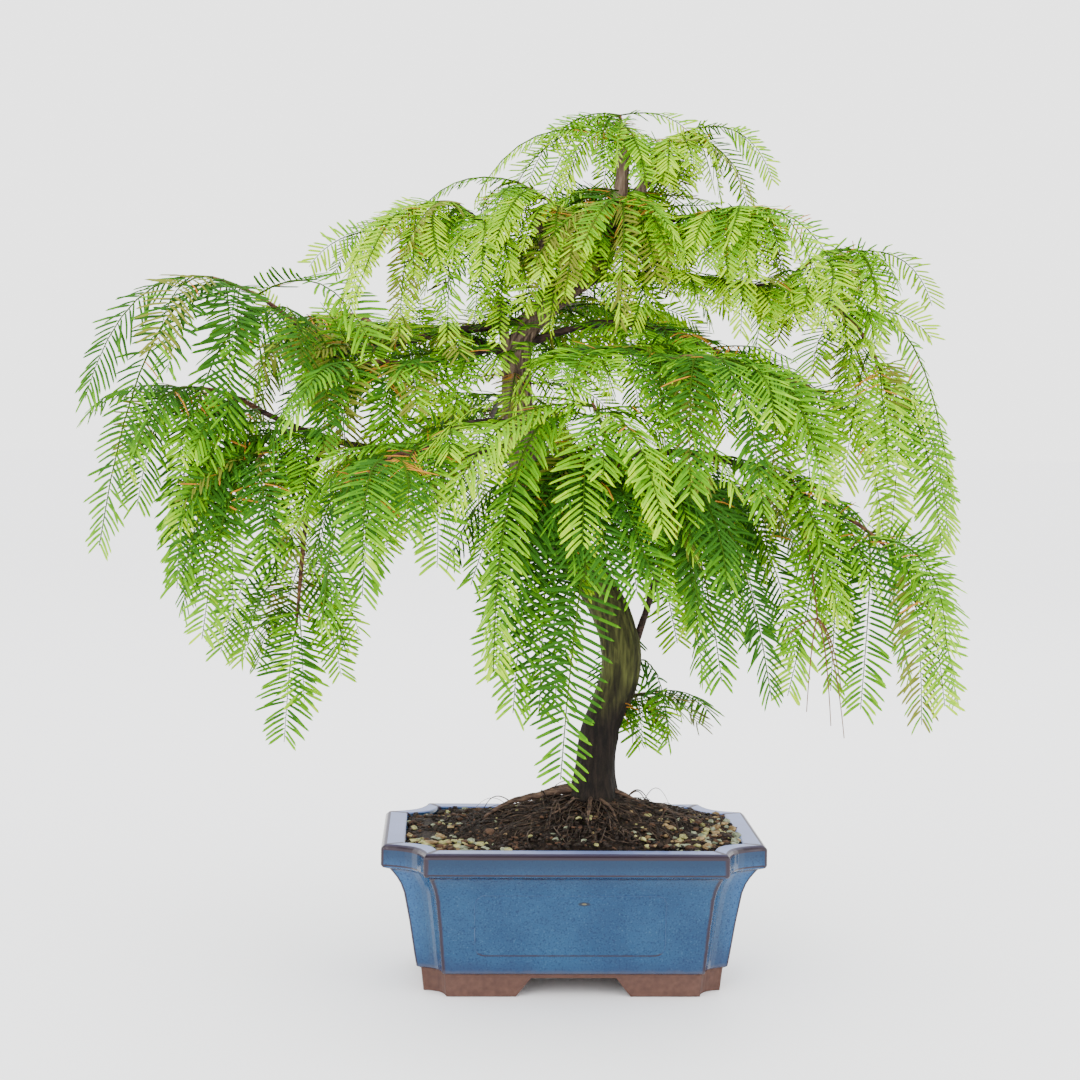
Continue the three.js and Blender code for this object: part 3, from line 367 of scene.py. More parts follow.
def tubes(limbs, sides):
    """Closed tubes, all at once, each given by its path, its radii and its heading: at each station a ring
    square to the path, of the radius there or of one radius for each side. Its first side lies to the left
    of the heading."""
    paths, radii, headings = (np.array(values, float) for values in zip(*limbs))
    count, stations = paths.shape[:2]
    radii = np.broadcast_to(radii[..., None] if radii.ndim == 2 else radii, (count, stations, sides))
    along = unit(np.gradient(paths, axis=1))
    left = towards(headings + 90)[:, None]
    a = unit(left - along * (left * along).sum(-1, keepdims=True))
    b = np.cross(along, a)
    cosine, sine = ring(sides)[:, :2].T[..., None]
    rings = paths[:, :, None] + radii[..., None] * (a[:, :, None] * cosine + b[:, :, None] * sine)
    points = np.concatenate([rings.reshape(count, -1, 3), paths[:, :1], paths[:, -1:]], 1)
    _, pattern = closed_grid(rings[0])
    faces = pattern[None] + (np.arange(count) * (stations * sides + 2))[:, None, None]
    return points.reshape(-1, 3), faces.reshape(-1, 3)


def place(name, data):
    """An object with that data in the scene."""
    placed = bpy.data.objects.new(name, data)
    bpy.context.scene.collection.objects.link(placed)
    return placed


def shaped(name, solid, materials=(), smooth=True):
    """A mesh object from points in millimetres and faces that all have as many corners."""
    points, faces = solid
    mesh = bpy.data.meshes.new(name)
    mesh.vertices.add(len(points))
    mesh.vertices.foreach_set("co", ((points + CENTRE) / 1000).astype(np.float32).ravel())
    mesh.loops.add(faces.size)
    mesh.loops.foreach_set("vertex_index", faces.astype(np.int32).ravel())
    mesh.polygons.add(len(faces))
    mesh.polygons.foreach_set("loop_start", np.arange(0, faces.size, faces.shape[1], dtype=np.int32))
    mesh.polygons.foreach_set("use_smooth", np.full(len(faces), smooth))
    mesh.update(calc_edges=True)
    for material in materials:
        mesh.materials.append(material)
    return place(name, mesh)


def make(name, slot, solid, materials, nodes=(), smooth=True, tones=None, **marks):
    """A piece that rides on the plant and stands for nodes. tones gives each face its material, and marks
    are values, one for all points or one for each, that the materials read by name."""
    piece = shaped(name, solid, materials, smooth)
    if tones is not None:
        piece.data.polygons.foreach_set("material_index", tones.astype(np.int32))
    for mark, values in marks.items():
        values = np.broadcast_to(values, len(solid[0])).astype(np.float32)
        piece.data.attributes.new(mark, "FLOAT", "POINT").data.foreach_set("value", values)
    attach(piece, "root")
    if nodes:
        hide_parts(*nodes)
    return piece


# ---- shader tools


def maths(operation, reflected=False):
    """The operator of Value that adds the Math node of that name."""
    def operator(value, other):
        pair = (other, value) if reflected else (value, other)
        return value.shader.node("ShaderNodeMath", {"operation": operation}, dict(enumerate(pair)))
    return operator


class Value:
    """A shader socket. An operator on it adds a Math node."""

    def __init__(self, shader, socket):
        self.shader = shader
        self.socket = socket

    __add__, __radd__ = maths("ADD"), maths("ADD", True)
    __sub__, __rsub__ = maths("SUBTRACT"), maths("SUBTRACT", True)
    __mul__, __rmul__ = maths("MULTIPLY"), maths("MULTIPLY", True)

    def smooth(self, low, high):
        """0 below low and 1 above high, smoothly between them."""
        settings = {"interpolation_type": "SMOOTHSTEP"}
        return self.shader.node("ShaderNodeMapRange", settings, {0: self, 1: low, 2: high})


def colour(red, green, blue):
    """A linear colour from screen values of 0 to 255."""
    screen = np.array([red, green, blue]) / 255
    linear = np.where(screen <= 0.04045, screen / 12.92, ((screen + 0.055) / 1.055) ** 2.4)
    return (*linear, 1.0)


class Shader:
    """A material that is being put together around its Principled node."""

    def __init__(self, name, base, roughness, specular):
        self.material = bpy.data.materials.new(name)
        self.material.use_nodes = True
        self.tree = self.material.node_tree
        self.surface = self.tree.nodes["Principled BSDF"]
        for socket, value in (("Base Color", colour(*base)), ("Roughness", roughness),
                              ("Specular IOR Level", specular)):
            self.surface.inputs[socket].default_value = value

    def node(self, kind, settings=None, inputs=None, output=0):
        """Adds a node: its settings first, then the values or links of its sockets."""
        node = self.tree.nodes.new(kind)
        for name, value in (settings or {}).items():
            setattr(node, name, value)
        for key, value in (inputs or {}).items():
            self.feed(node.inputs[key], value)
        return Value(self, node.outputs[output])

    def feed(self, socket, value):
        if isinstance(value, Value):
            self.tree.links.new(value.socket, socket)
        else:
            socket.default_value = value

    def drive(self, socket, value):
        self.feed(self.surface.inputs[socket], value)

    def place(self):
        return self.node("ShaderNodeTexCoord", output="Object")

    def across(self, axis):
        """One of the Object coordinates, in millimetres."""
        return self.node("ShaderNodeSeparateXYZ", None, {0: self.place()}, axis) * 1000.0

    def grain(self, size, detail=2.0, stretch=(1.0, 1.0, 1.0)):
        """Noise from 0 to 1 with features of that size in millimetres, drawn out by stretch."""
        scale = tuple(1000.0 / (size * k) for k in stretch)
        mapped = self.node("ShaderNodeMapping", None, {"Vector": self.place(), "Scale": scale})
        return self.node("ShaderNodeTexNoise", {"noise_dimensions": "3D"},
                         {"Vector": mapped, "Scale": 1.0, "Detail": detail})

    def mark(self, name):
        return self.node("ShaderNodeAttribute", {"attribute_name": name}, output="Fac")

    def mix(self, factor, first, second):
        """From the first colour to the second as factor goes from 0 to 1."""
        settings = {"data_type": "RGBA", "clamp_factor": True}
        return self.node("ShaderNodeMix", settings, {0: factor, 6: first, 7: second}, 2)

    def two_tone(self, factor, dark, light):
        return self.mix(factor, colour(*dark), colour(*light))

    def coats(self, body, *coats):
        """Colours over each other: for each coat where it lies, how strong it is, and its colour."""
        for where, strength, shade in coats:
            body = self.mix(where * strength, body, colour(*shade))
        return body

    def bump(self, height, distance, strength=1.0):
        """Feeds the normal from a height, where 1 stands for that distance in millimetres."""
        inputs = {"Height": height, "Distance": distance / 1000, "Strength": strength}
        self.drive("Normal", self.node("ShaderNodeBump", None, inputs))


# ---- materials


def glaze():
    """Blue glaze with dark and pale specks, deeper on the lip's side, near the foot and in a pit on the
    front wall, and paler towards the ends, a painted reflection on the in-cut corners. It is thin, so
    purple brown, along the edges, paler on the lip's flat, and it ends above the feet, where the fired clay
    is bare. The same purple brown in the crease under the lip is painted shade."""
    shader = Shader("glaze", (14, 62, 104), 0.12, 0.3)
    specks = shader.grain(0.9, 3.0)
    drift = shader.grain(30.0, 3.0)
    wander = shader.grain(5.0, 3.0)
    height = shader.across(2)
    sideways = shader.across(0) - float(CENTRE[0])
    rim = shader.mark("rim")
    edge = (shader.mark("edge") + (wander - 0.5) * 0.5).smooth(0.08, 0.66)
    lip = height + (shader.grain(7.0, 2.0) - 0.5) * 1.8
    seam = lip.smooth(GLAZE_FOOT - 0.2, GLAZE_FOOT + 0.4) * lip.smooth(GLAZE_FOOT + 3.0, GLAZE_FOOT + 1.0)
    pit_across = sideways - PINHOLE[0]
    pit_up = (height - PINHOLE[1]) * 2.2
    behind = (shader.across(1) - float(CENTRE[1])).smooth(-1, 1)
    pit = pit_across * pit_across * 0.6 + pit_up * pit_up + (wander - 0.5) * 2.0 + behind * 100.0
    body = shader.coats(
        shader.two_tone(drift.smooth(0.2, 0.8), (16, 50, 82), (26, 64, 96)),
        # Paler blue towards the ends: a painted reflection on the in-cut corners.
        ((sideways * sideways).smooth(5200, 8200), 0.45, (52, 96, 146)),
        (specks.smooth(0.52, 0.68), 0.7, (4, 28, 62)),
        (specks.smooth(0.42, 0.26), 0.35, (62, 102, 128)),
        (height.smooth(62, 76), 0.85, (2, 30, 56)),
        ((height + (drift - 0.5) * 24.0).smooth(24, 14), 0.5, (22, 36, 70)),
        (rim, 0.6 + drift * 0.35, (116, 130, 184)),
        # edge: purple brown where the glaze thins, and painted shade in the crease under the lip
        (edge, 0.88, (38, 22, 28)),
        (seam, 0.5, (66, 66, 78)),
        (pit.smooth(8.0, 4.0), 0.85, (26, 32, 40)),
        (pit.smooth(1.3, 0.6), 0.8, (96, 90, 66)))
    clay = shader.two_tone(shader.grain(3.0, 4.0), (52, 32, 26), (92, 64, 54))
    bare = lip.smooth(GLAZE_FOOT - 0.3, GLAZE_FOOT + 0.5)
    shader.drive("Base Color", shader.mix(bare, clay, body))
    shader.drive("Roughness", 0.72 - bare * 0.6 + edge * 0.1 + rim * 0.3)
    shader.bump(wander * 0.4 + shader.grain(0.9, 2.0) * 0.25, 0.2, 0.4)
    return shader.material


def soil_skin():
    """Dark damp fibrous soil."""
    shader = Shader("soil", (30, 22, 17), 0.95, 0.15)
    crumbs = shader.grain(2.4, 4.0)
    fibres = shader.grain(1.2, 3.0, (1.0, 4.0, 1.0))
    shader.drive("Base Color", shader.coats(
        shader.two_tone(crumbs.smooth(0.35, 0.7), (16, 12, 10), (54, 43, 36)),
        (fibres.smooth(0.58, 0.72), 0.6, (92, 76, 62))))
    shader.bump(crumbs + fibres * 0.5, 0.8)
    return shader.material


def old_bark():
    """Bark of the trunk: near black at the foot, painted shade of the crown, green with algae above it,
    then grey tan, darker in its furrows, painted shade there."""
    shader = Shader("old_bark", (70, 56, 46), 0.9, 0.2)
    height = shader.across(2) + (shader.grain(22.0, 3.0) - 0.5) * 34
    strands = shader.grain(1.6, 4.0, (1.0, 1.0, 9.0))
    upper = shader.two_tone(strands.smooth(0.32, 0.68), (86, 69, 58), (136, 114, 98))
    middle = shader.two_tone(strands.smooth(0.3, 0.7), (42, 42, 22), (78, 80, 40))
    # The foot's near black is painted shade of the crown.
    foot = shader.two_tone(strands.smooth(0.3, 0.7), (15, 12, 10), (34, 27, 22))
    body = shader.mix(height.smooth(215, 285), shader.mix(height.smooth(140, 165), foot, middle), upper)
    # Darker down the furrows: painted shade in them.
    furrow = shader.mark("furrow").smooth(0.45, 1.0)
    shader.drive("Base Color", shader.coats(body, (furrow, 0.55, (22, 17, 13))))
    shader.bump(strands + shader.grain(0.8, 3.0) * 0.4, 0.5)
    return shader.material


def young_bark(name, dark, light):
    """Smoother bark with fine lengthwise streaks."""
    shader = Shader(name, dark, 0.75, 0.25)
    streaks = shader.grain(1.4, 3.0, (4.0, 4.0, 1.0))
    shader.drive("Base Color", shader.two_tone(streaks.smooth(0.35, 0.7), dark, light))
    shader.bump(streaks, 0.25)
    return shader.material


def grit(name, dark, light):
    """Grains of one kind of stone, matt, with a little change from place to place."""
    shader = Shader(name, dark, 0.85, 0.25)
    shader.drive("Base Color", shader.two_tone(shader.grain(2.6, 2.0).smooth(0.3, 0.7), dark, light))
    shader.bump(shader.grain(0.7, 3.0), 0.15)
    return shader.material


GLAZE = glaze()
SOIL = soil_skin()
GRITS = [grit("grit_dark", (20, 15, 12), (44, 34, 27)), grit("grit_tan", (96, 76, 50), (146, 124, 88)),
         grit("grit_yellow", (116, 114, 66), (164, 160, 108)),
         grit("grit_pale", (92, 100, 80), (142, 146, 122)), grit("grit_brown", (48, 32, 23), (80, 56, 39))]
CRUMB, TAN, YELLOW, PALE, BROWN = range(5)  # their places in the list
OLD_BARK = old_bark()
BOUGH_BARK = young_bark("bough_bark", (32, 22, 20), (74, 54, 46))
TWIG_BARK = young_bark("twig_bark", (64, 36, 28), (112, 80, 48))
ROOT_BARK = young_bark("root_bark", (40, 29, 24), (96, 75, 60))
ROOT_SKIN = young_bark("root_skin", (26, 20, 16), (80, 64, 52))
GREEN_TWIG = Shader("green_twig", (52, 78, 16), 0.8, 0.05).material
DRY = Shader("dry_twig", (98, 68, 44), 0.8, 0.1).material

# Plain colours of the needles from deep green to the bright tips, then olive and withered ones.
TONES = [Shader(name, shade, 0.6, 0.05).material for name, shade in (
    ("needle_deep", (44, 88, 20)), ("needle_mid", (62, 112, 16)), ("needle_fresh", (82, 136, 6)),
    ("needle_light", (102, 156, 0)), ("needle_bright", (126, 176, 0)), ("needle_tip", (156, 196, 0)),
    ("needle_olive", (106, 114, 38)), ("needle_withered", (172, 116, 40)))]
BRIGHTEST, OLIVE, WITHERED = 5, 6, 7


# ---- pot


def rounded(corners, radius, steps):
    """A closed outline whose corners are rounded by short curves, each from a radius before the corner to
    a radius after it, with one more point outside each end that keeps the flats flat. Also gives, for
    each point, 1 in the middle of a rounded corner, less towards its ends and 0 outside it."""
    corners = np.asarray(corners, float)
    radius = np.broadcast_to(np.asarray(radius, float), len(corners))[:, None, None]
    t = np.linspace(0, 1, steps + 1)[None, :, None]
    curve, outer = corners[:, None], []
    for turn, share in ((1, (1 - t) ** 2), (-1, t ** 2)):
        side = (np.roll(corners, turn, 0) - corners)[:, None]
        room = 0.5 * np.linalg.norm(side, axis=-1, keepdims=True)
        curve = curve + radius * share * unit(side)
        outer.append(corners[:, None] + np.minimum(2.6 * radius, room) * unit(side))
    on = np.concatenate([[0], 1 - 0.2 * np.abs(2 * t.ravel() - 1), [0]])
    points = np.concatenate([outer[0], curve, outer[1]], 1)
    return points.reshape(-1, 2), np.tile(on, len(corners))


def pot_outline(inset, radius=1.3):
    """The pot's outline, inset from its lip: straight sides and four in-cut corners, each bowed inwards
    between two little steps. Also gives 1 at the arrises that stand out and 0 elsewhere."""
    x, y = RIM_WIDTH / 2 - inset, RIM_DEPTH / 2 - inset
    size = 1 - inset / CUT_SHRINK
    width, depth, back, hollow = (k * size for k in (CUT_WIDTH, CUT_DEPTH, CUT_STEP, CUT_HOLLOW))
    share = np.linspace(0, 1, 7)
    bow = hollow * np.sin(np.pi * share)
    arc = np.stack([x - back - (width - back) * share - bow, y - depth + (depth - back) * share - bow], 1)
    corner = np.concatenate([[[x, y - depth]], arc, [[x - width, y]]])
    outline = np.concatenate([corner, corner[::-1] * [-1, 1], corner * [-1, -1], corner[::-1] * [1, -1]])
    proud = np.zeros(len(corner))
    proud[[0, -1]] = 1
    proud = np.tile(proud, 4)
    points, on = rounded(outline, (0.4 + 0.6 * proud) * radius * min(1, size * 1.1), 3)
    return points, on * np.repeat(proud, len(points) // len(proud))


def make_pot():
    """The bowl: rings up the wall's profile, its corners rounded by short curves. Each ring is the outline
    at its own inset. Marks: edge, 1 where the glaze thins most, also painted shade in the crease under the
    lip, and rim, 1 on the flat of the lip."""
    profile = []
    for k, here in enumerate(WALL):
        thin = GLAZE_THIN_AND_SHADE.get(k, 0.0)
        if k not in ROUNDING:
            profile.append((*here, thin))
            continue
        before, after = (ROUNDING[k] * unit(WALL[k + side] - here) for side in (-1, 1))
        profile.append((*(here + 1.5 * before), THIN_BETWEEN if k == LIP_TOP else 0))
        profile += [(*(here + (1 - t) ** 2 * before + t * t * after), thin) for t in np.linspace(0, 1, 5)]
        profile.append((*(here + 1.5 * after), THIN_BETWEEN if k == LIP_SIDE else 0))
    rings, edges, rims = [], [], []
    for height, inset, thin in profile:
        outline, proud = pot_outline(inset)
        rings.append(at_height(outline, height))
        edges.append(np.maximum(proud * (height > GLAZE_FOOT), thin))
        rims.append(np.full(len(outline), smoothstep(POT_HEIGHT - 1.0, POT_HEIGHT - 0.2, height)))
    bowl = make("pot_bowl", "glaze", closed_grid(np.array(rings)), [GLAZE], ["pot"],
                edge=np.append(edges, [0, 0]), rim=np.append(rims, [0, 0]))
    bowl.data.set_sharp_from_angle(angle=math.radians(40))
    cut_drains(bowl)


def cut_drains(bowl):
    """Two round drain holes, by a Boolean with two upright cylinders."""
    drains = []
    for side in (-1, 1):
        level = ring(32)[:, :2] * DRAIN_RADIUS + [side * DRAIN_OFFSET, 0]
        drains.append(closed_grid(np.array([at_height(level, z) for z in (5, 25)])))
    cutter = shaped("drains", joined(drains), smooth=False)
    cut = bowl.modifiers.new("drains", "BOOLEAN")
    cut.operation = "DIFFERENCE"
    cut.solver = "EXACT"
    cut.object = cutter
    cut_mesh = bpy.data.meshes.new_from_object(bowl.evaluated_get(bpy.context.evaluated_depsgraph_get()))
    bowl.modifiers.clear()
    bowl.data = cut_mesh
    bpy.data.objects.remove(cutter)


def make_feet():
    """Four L-shaped feet. Each follows the outline round one corner, from one foot window to the next,
    and its ends slant as the windows do. Low and high, outside and inside, make its four rows."""
    feet = []
    top = FOOT_HEIGHT + FOOT_SINK
    for sx, sy in ((1, 1), (-1, 1), (-1, -1), (1, -1)):
        rows = []
        for height, inset in ((0, 22.6), (top, 21.4), (top, 21.4 + FOOT_RING), (0, 22.6 + FOOT_RING)):
            outline, _ = pot_outline(inset, 0.9)
            slant = WINDOW_SLANT if height else 0
            quarter = outline[(outline > 0).all(1)]
            path = np.concatenate([[[RIM_WIDTH / 2 - inset, WINDOW_SHORT / 2 - slant]], quarter,
                                   [[WINDOW_LONG / 2 - slant, RIM_DEPTH / 2 - inset]]])
            rows.append(at_height(path * [sx, sy], height))
        rings = np.array(rows)[::-1].transpose(1, 0, 2)
        feet.append(closed_grid(rings[::sx * sy]))
    piece = make("pot_feet", "glaze", joined(feet), [GLAZE], edge=0, rim=0)
    piece.data.set_sharp_from_angle(angle=math.radians(30))
    bevel = piece.modifiers.new("worn", "BEVEL")
    bevel.width = 0.0006
    bevel.segments = 2
    bevel.limit_method = "ANGLE"


def make_panel_line():
    """The faint raised line on the pot's long walls: a thin tube, half sunk, that follows a rectangle with
    rounded corners on the sloping wall. The glaze thins along its lowest stretch."""
    outline, _ = rounded(PANEL, PANEL_ROUND, 8)
    outline = np.concatenate([outline, outline[:1]])
    inset = np.interp(outline[:, 1], *WALL[SLOPE].T)
    for side, name in ((-1, "panel_front"), (1, "panel_back")):
        wall = side * (RIM_DEPTH / 2 - inset - PANEL_SINK)
        path = np.column_stack([outline[:, 0] * -side, wall, outline[:, 1]])
        line = tubes([(path, np.full(len(path), PANEL_THICK), 0)], 6)
        make(name, "glaze", line, [GLAZE], edge=0.5 * smoothstep(26, 23.2, line[0][:, 2]), rim=0.04)


# ---- limbs


def arch(root, heading, reach, lift, rise, share, out=0.5):
    """Points on quadratic arches at the shares: from the root by a bend, out along the reach and raised
    by rise, to a tip lifted by lift."""
    ahead = towards(heading)
    bend = root + ahead * reach * out + UP * rise
    tip = root + ahead * reach + UP * lift
    t = np.asarray(share, float)[..., None]
    return (1 - t) ** 2 * root + 2 * t * (1 - t) * bend + t * t * tip


def trunk_at(height):
    """x, y and radius of the trunk at heights, by cubics whose slopes at each bend run between its
    neighbours."""
    z = TRUNK[:, 0]
    order = np.arange(len(z))
    between = TRUNK[np.minimum(order + 1, order[-1])] - TRUNK[np.maximum(order - 1, 0)]
    slopes = between[:, 1:] / between[:, :1]
    k = np.clip(np.searchsorted(z, height) - 1, 0, len(z) - 2)
    span = (z[k + 1] - z[k])[..., None]
    u = (height - z[k])[..., None] / span
    return (TRUNK[k, 1:] * (1 + 2 * u) * (1 - u) ** 2 + slopes[k] * span * u * (1 - u) ** 2
            + TRUNK[k + 1, 1:] * u * u * (3 - 2 * u) + slopes[k + 1] * span * u * u * (u - 1))


# Each limb's line: a function from a share of it (on the trunk, from a height) to a point.
LIMBS = {"trunk": lambda height: np.array([*trunk_at(height)[:2], height])}


def limb_line(name, carrier, where, *bends):
    """Keeps and gives the line of a limb that arches from what carries it."""
    root = LIMBS[carrier](where)
    LIMBS[name] = lambda share: arch(root, *bends, share)
    return LIMBS[name]


def furrowed(spots, facing, depth):
    """Relief of old bark: long strands with furrows between them that wander as they climb. Also gives
    how far each spot is down a furrow, from 0 to 1."""
    wander = noise(spots, 30, 5)[..., None]
    field = np.concatenate([9 * facing[..., :2] + 4 * wander, spots[..., 2:] / 11], -1)
    strand = 1 - np.abs(noise(field, 2.1, 6))
    fine = noise(field * [1, 1, 1.6], 0.9, 7)
    lumps = noise(spots, 16, 8)
    return depth * (1.5 * (strand - 0.75) + 0.35 * fine) + 0.9 * lumps, 1 - smoothstep(0.45, 0.8, strand)


def make_trunk():
    """The trunk: rings round its winding line, flared in lobes at the soil, with furrowed bark."""
    heights = np.linspace(TRUNK[0, 0], TRUNK[-1, 0], TRUNK_RINGS)
    line = trunk_at(heights)
    path = at_height(line[:, :2], heights)
    facing = ring(TRUNK_SIDES)
    lobes = 0.75 + 0.25 * np.cos(FLARE_LOBES * np.arctan2(facing[:, 1], facing[:, 0]))
    flare = 1 + FLARE * np.exp((TRUNK[0, 0] - heights[:, None]) / FLARE_HEIGHT) * lobes
    base = line[:, 2:] * flare
    spots = path[:, None] + base[..., None] * facing
    relief, furrow = furrowed(spots, facing, BARK_DEPTH * line[:, 2:])
    make("trunk_bark", "old_bark", tubes([(path, base + relief, 0)], len(facing)), [OLD_BARK], ["trunk"],
         furrow=np.append(furrow, [0, 0]))


def make_stubs():
    """The dead stubs and sawn tops on the trunk: short knotty arches."""
    share, sides = np.linspace(0, 1, 40), 20
    stubs = []
    for height, *bends, thick, thin in STUBS:
        path = limb_line("stub", "trunk", height, *bends)(share)
        knots = 0.7 * noise_round(path, 3, sides, 4, height)
        stubs.append((path, (thick + (thin - thick) * share)[:, None] + knots, bends[0]))
    make("dead_stubs", "old_bark", tubes(stubs, sides), [OLD_BARK], furrow=0)


def make_boughs():
    """Every bough: a tapering tube along its arch, which sways a little, with knots here and there and fine
    relief."""
    share, sides = np.linspace(0, 1, 48), 14
    limbs = []
    for k, (name, carrier, where, heading, reach, lift, rise, thick, thin, _) in enumerate(BOUGHS):
        path = limb_line(name, carrier, where, heading, reach, lift, rise)(share)
        sway = 0.5 * thick * level_noise(share * reach, 9 * k, 22, 3) * np.sin(np.pi * share)
        path = path + (towards(heading + 90) + 0.5 * UP) * sway[:, None]
        knots = np.maximum(0, level_noise(share * reach, 5 * k, 7, 4))
        body = thick + (thin - thick) * share + 0.3 * knots ** 2 * thick
        relief = 0.08 * thick * noise_round(path, thick, sides, 2.4, 12)
        limbs.append((name, (path, body[:, None] + relief, heading)))
    for piece, sawn, bark, slot in (("boughs", False, BOUGH_BARK, "young_bark"),
                                    ("sawn_leader", True, OLD_BARK, "old_bark")):
        names, chosen = zip(*(limb for limb in limbs if (limb[0] == SAWN) == sawn))
        make(piece, slot, tubes(chosen, sides), [bark], names, furrow=0)


# ---- fronds


def rule_rows(heading, fill, count, shrink, low, high, extra):
    """Fronds by the seeded rule: spread along a stem from low to high, alternately to each side."""
    _, length, spread, seed = fill
    random = seeded(seed + extra)
    rows = []
    for k in range(count):
        at = low + (high - low) * (k + next(random)) / count
        hand = 1 if k % 2 else -1
        turn = heading + hand * spread * (1.05 - 0.6 * at) + 30 * (next(random) - 0.5)
        long = length * shrink * (0.8 + 0.35 * next(random))
        hang = 0.45 + 0.4 * next(random)
        rows.append((at, turn, long * math.sqrt(1 - hang * hang), -long * hang,
                     long * 0.1 * next(random), turn))
    return rows


HEADING, FACE, TONE, SIZE, VEER = 3, 7, 8, 9, 10  # columns of a frond's row


class Sprays:
    """Fronds gathered for one part of the crown: where each begins, its arch, how its face looks, its
    tone, the size of its needles and how far it veers to one side."""

    def __init__(self, seed):
        self.rows = []
        self.nodes = []
        self.random = np.random.default_rng(seed)

    def add(self, root, heading, reach, lift, rise, face, tone, needle=1.0, veer=0.08):
        """One frond, its face twisted a little and more where the needles are small."""
        twist = self.random.normal(0, 16 if needle > 0.9 else 36)
        self.rows.append((*root, heading, reach, lift, rise, face + twist, tone, needle,
                          self.random.normal(0, veer)))

    def fan(self, root, heading, length, tone, needle, droop):
        """One frond in a heading, whose tip falls by a random share of its length, droop or more."""
        long = length * self.random.uniform(0.6, 1.12)
        fall = self.random.uniform(droop, 0.3 * droop + 0.75)
        self.add(root, heading, long * math.sqrt(1 - fall * fall), -long * fall,
                 long * self.random.uniform(0.02, 0.2), heading, tone, needle, 0.12)

    def on_limb(self, line, heading, count, *look):
        """Fronds along a limb, alternately to each side, closer together towards its tip."""
        for k in range(count):
            at = 0.2 + 0.8 * ((k + self.random.random()) / count) ** 0.8
            hand = 1 if k % 2 else -1
            turn = heading + hand * self.random.uniform(25, 115) * (1.05 - 0.45 * at)
            self.fan(line(at), turn, *look)

    def on_trunk(self, count, low, high, *look):
        """Fronds round the trunk, closer together towards its top."""
        for k in range(count):
            z = low + (high - low) * ((k + self.random.random()) / count) ** 0.8
            turn = GOLDEN_TURN * k + self.random.uniform(-20, 20)
            self.fan(LIMBS["trunk"](z) + towards(turn) * trunk_at(z)[2] * 0.8, turn, *look)


def frond_frames(rows, index, share):
    """Point, direction, side and upper side on the fronds named by index, at shares of their arches."""
    root = rows[index, :3]
    heading, reach, lift, rise, face = rows[index, HEADING:TONE].T
    ahead = towards(heading)
    aside = towards(heading + 90) * (rows[index, VEER] * np.hypot(reach, lift))[:, None]
    bend = ahead * (0.7 * reach)[:, None] + UP * rise[:, None] + aside
    tip = ahead * reach[:, None] + UP * lift[:, None]
    t = share[:, None]
    point = root + 2 * t * (1 - t) * bend + t * t * tip
    along = unit(2 * (1 - 2 * t) * bend + 2 * t * tip)
    flat = towards(face + 90)
    side = unit(flat - along * (flat * along).sum(1, keepdims=True))
    return point, along, side, np.cross(along, side)


def frond_paths(rows, stations):
    """Points at even shares of every frond's arch, one row for each frond."""
    index = np.repeat(np.arange(len(rows)), stations)
    points, *_ = frond_frames(rows, index, np.tile(np.linspace(0, 1, stations), len(rows)))
    return points.reshape(len(rows), stations, 3)


def arch_shares(reached, index, share):
    """The shares of the arches of the fronds named by index at which shares of their lengths lie. reached
    is how far along each frond its stations are."""
    apart = 2 * reached.max()
    many = np.arange(len(reached))[:, None]
    shares = np.linspace(0, 1, reached.shape[1]) + many
    want = share * reached[index, -1] + index * apart
    return np.interp(want, (reached + many * apart).ravel(), shares.ravel()) - index


# ---- needles


def needle_blades(root, ahead, side, bend, length, width, tones, at, breadth):
    """Needles, all at once: a shallow three-sided blade, ridged above, from a point through rings at some
    shares of its length, each with its share of the breadth, to a short tip. It leaves its line by bend
    as the square of the way along it. Also gives each face's tone: a step deeper than the needle's at the
    root, painted shade where it leaves the frond, and a step lighter at the tip, a painted highlight,
    unless it is olive or withered."""
    at, breadth = np.array(at), np.array(breadth)
    centre = (root[:, None] + ahead[:, None] * (length[:, None] * at)[..., None]
              + bend[:, None] * (length[:, None] * at ** 2)[..., None])
    half = (0.5 * width[:, None] * breadth)[..., None]
    wide = side[:, None] * half
    ridge = np.cross(side, ahead)[:, None] * half * 0.6
    rings = np.stack([centre + wide, centre - wide, centre + ridge], 2).reshape(len(root), -1, 3)
    tip = root + (ahead + bend) * length[:, None]
    points = np.concatenate([rings, root[:, None], tip[:, None]], 1)
    last = 3 * (len(at) - 1)
    pattern = []  # corners of the faces, and how far their tones are shifted: deeper at the root, painted shade, and lighter at the tip, a painted highlight
    for a, b in ((0, 1), (1, 2), (2, 0)):
        pattern += [(b, a, last + 3, -1), (last + a, last + b, last + 4, 1)]
        for k in range(0, last, 3):
            shift = -1 if k == 0 and last > 3 else 0
            pattern += [(k + a, k + 3 + b, k + 3 + a, shift), (k + a, k + b, k + 3 + b, shift)]
    corners, shifts = np.split(np.array(pattern), [3], axis=1)
    faces = corners + (np.arange(len(root)) * (last + 5))[:, None, None]
    shades = np.clip(tones[:, None] + shifts[:, 0], 0, BRIGHTEST)
    shades = np.where(tones[:, None] > BRIGHTEST, tones[:, None], shades)
    return points.reshape(-1, 3), faces.reshape(-1, 3), shades.ravel()


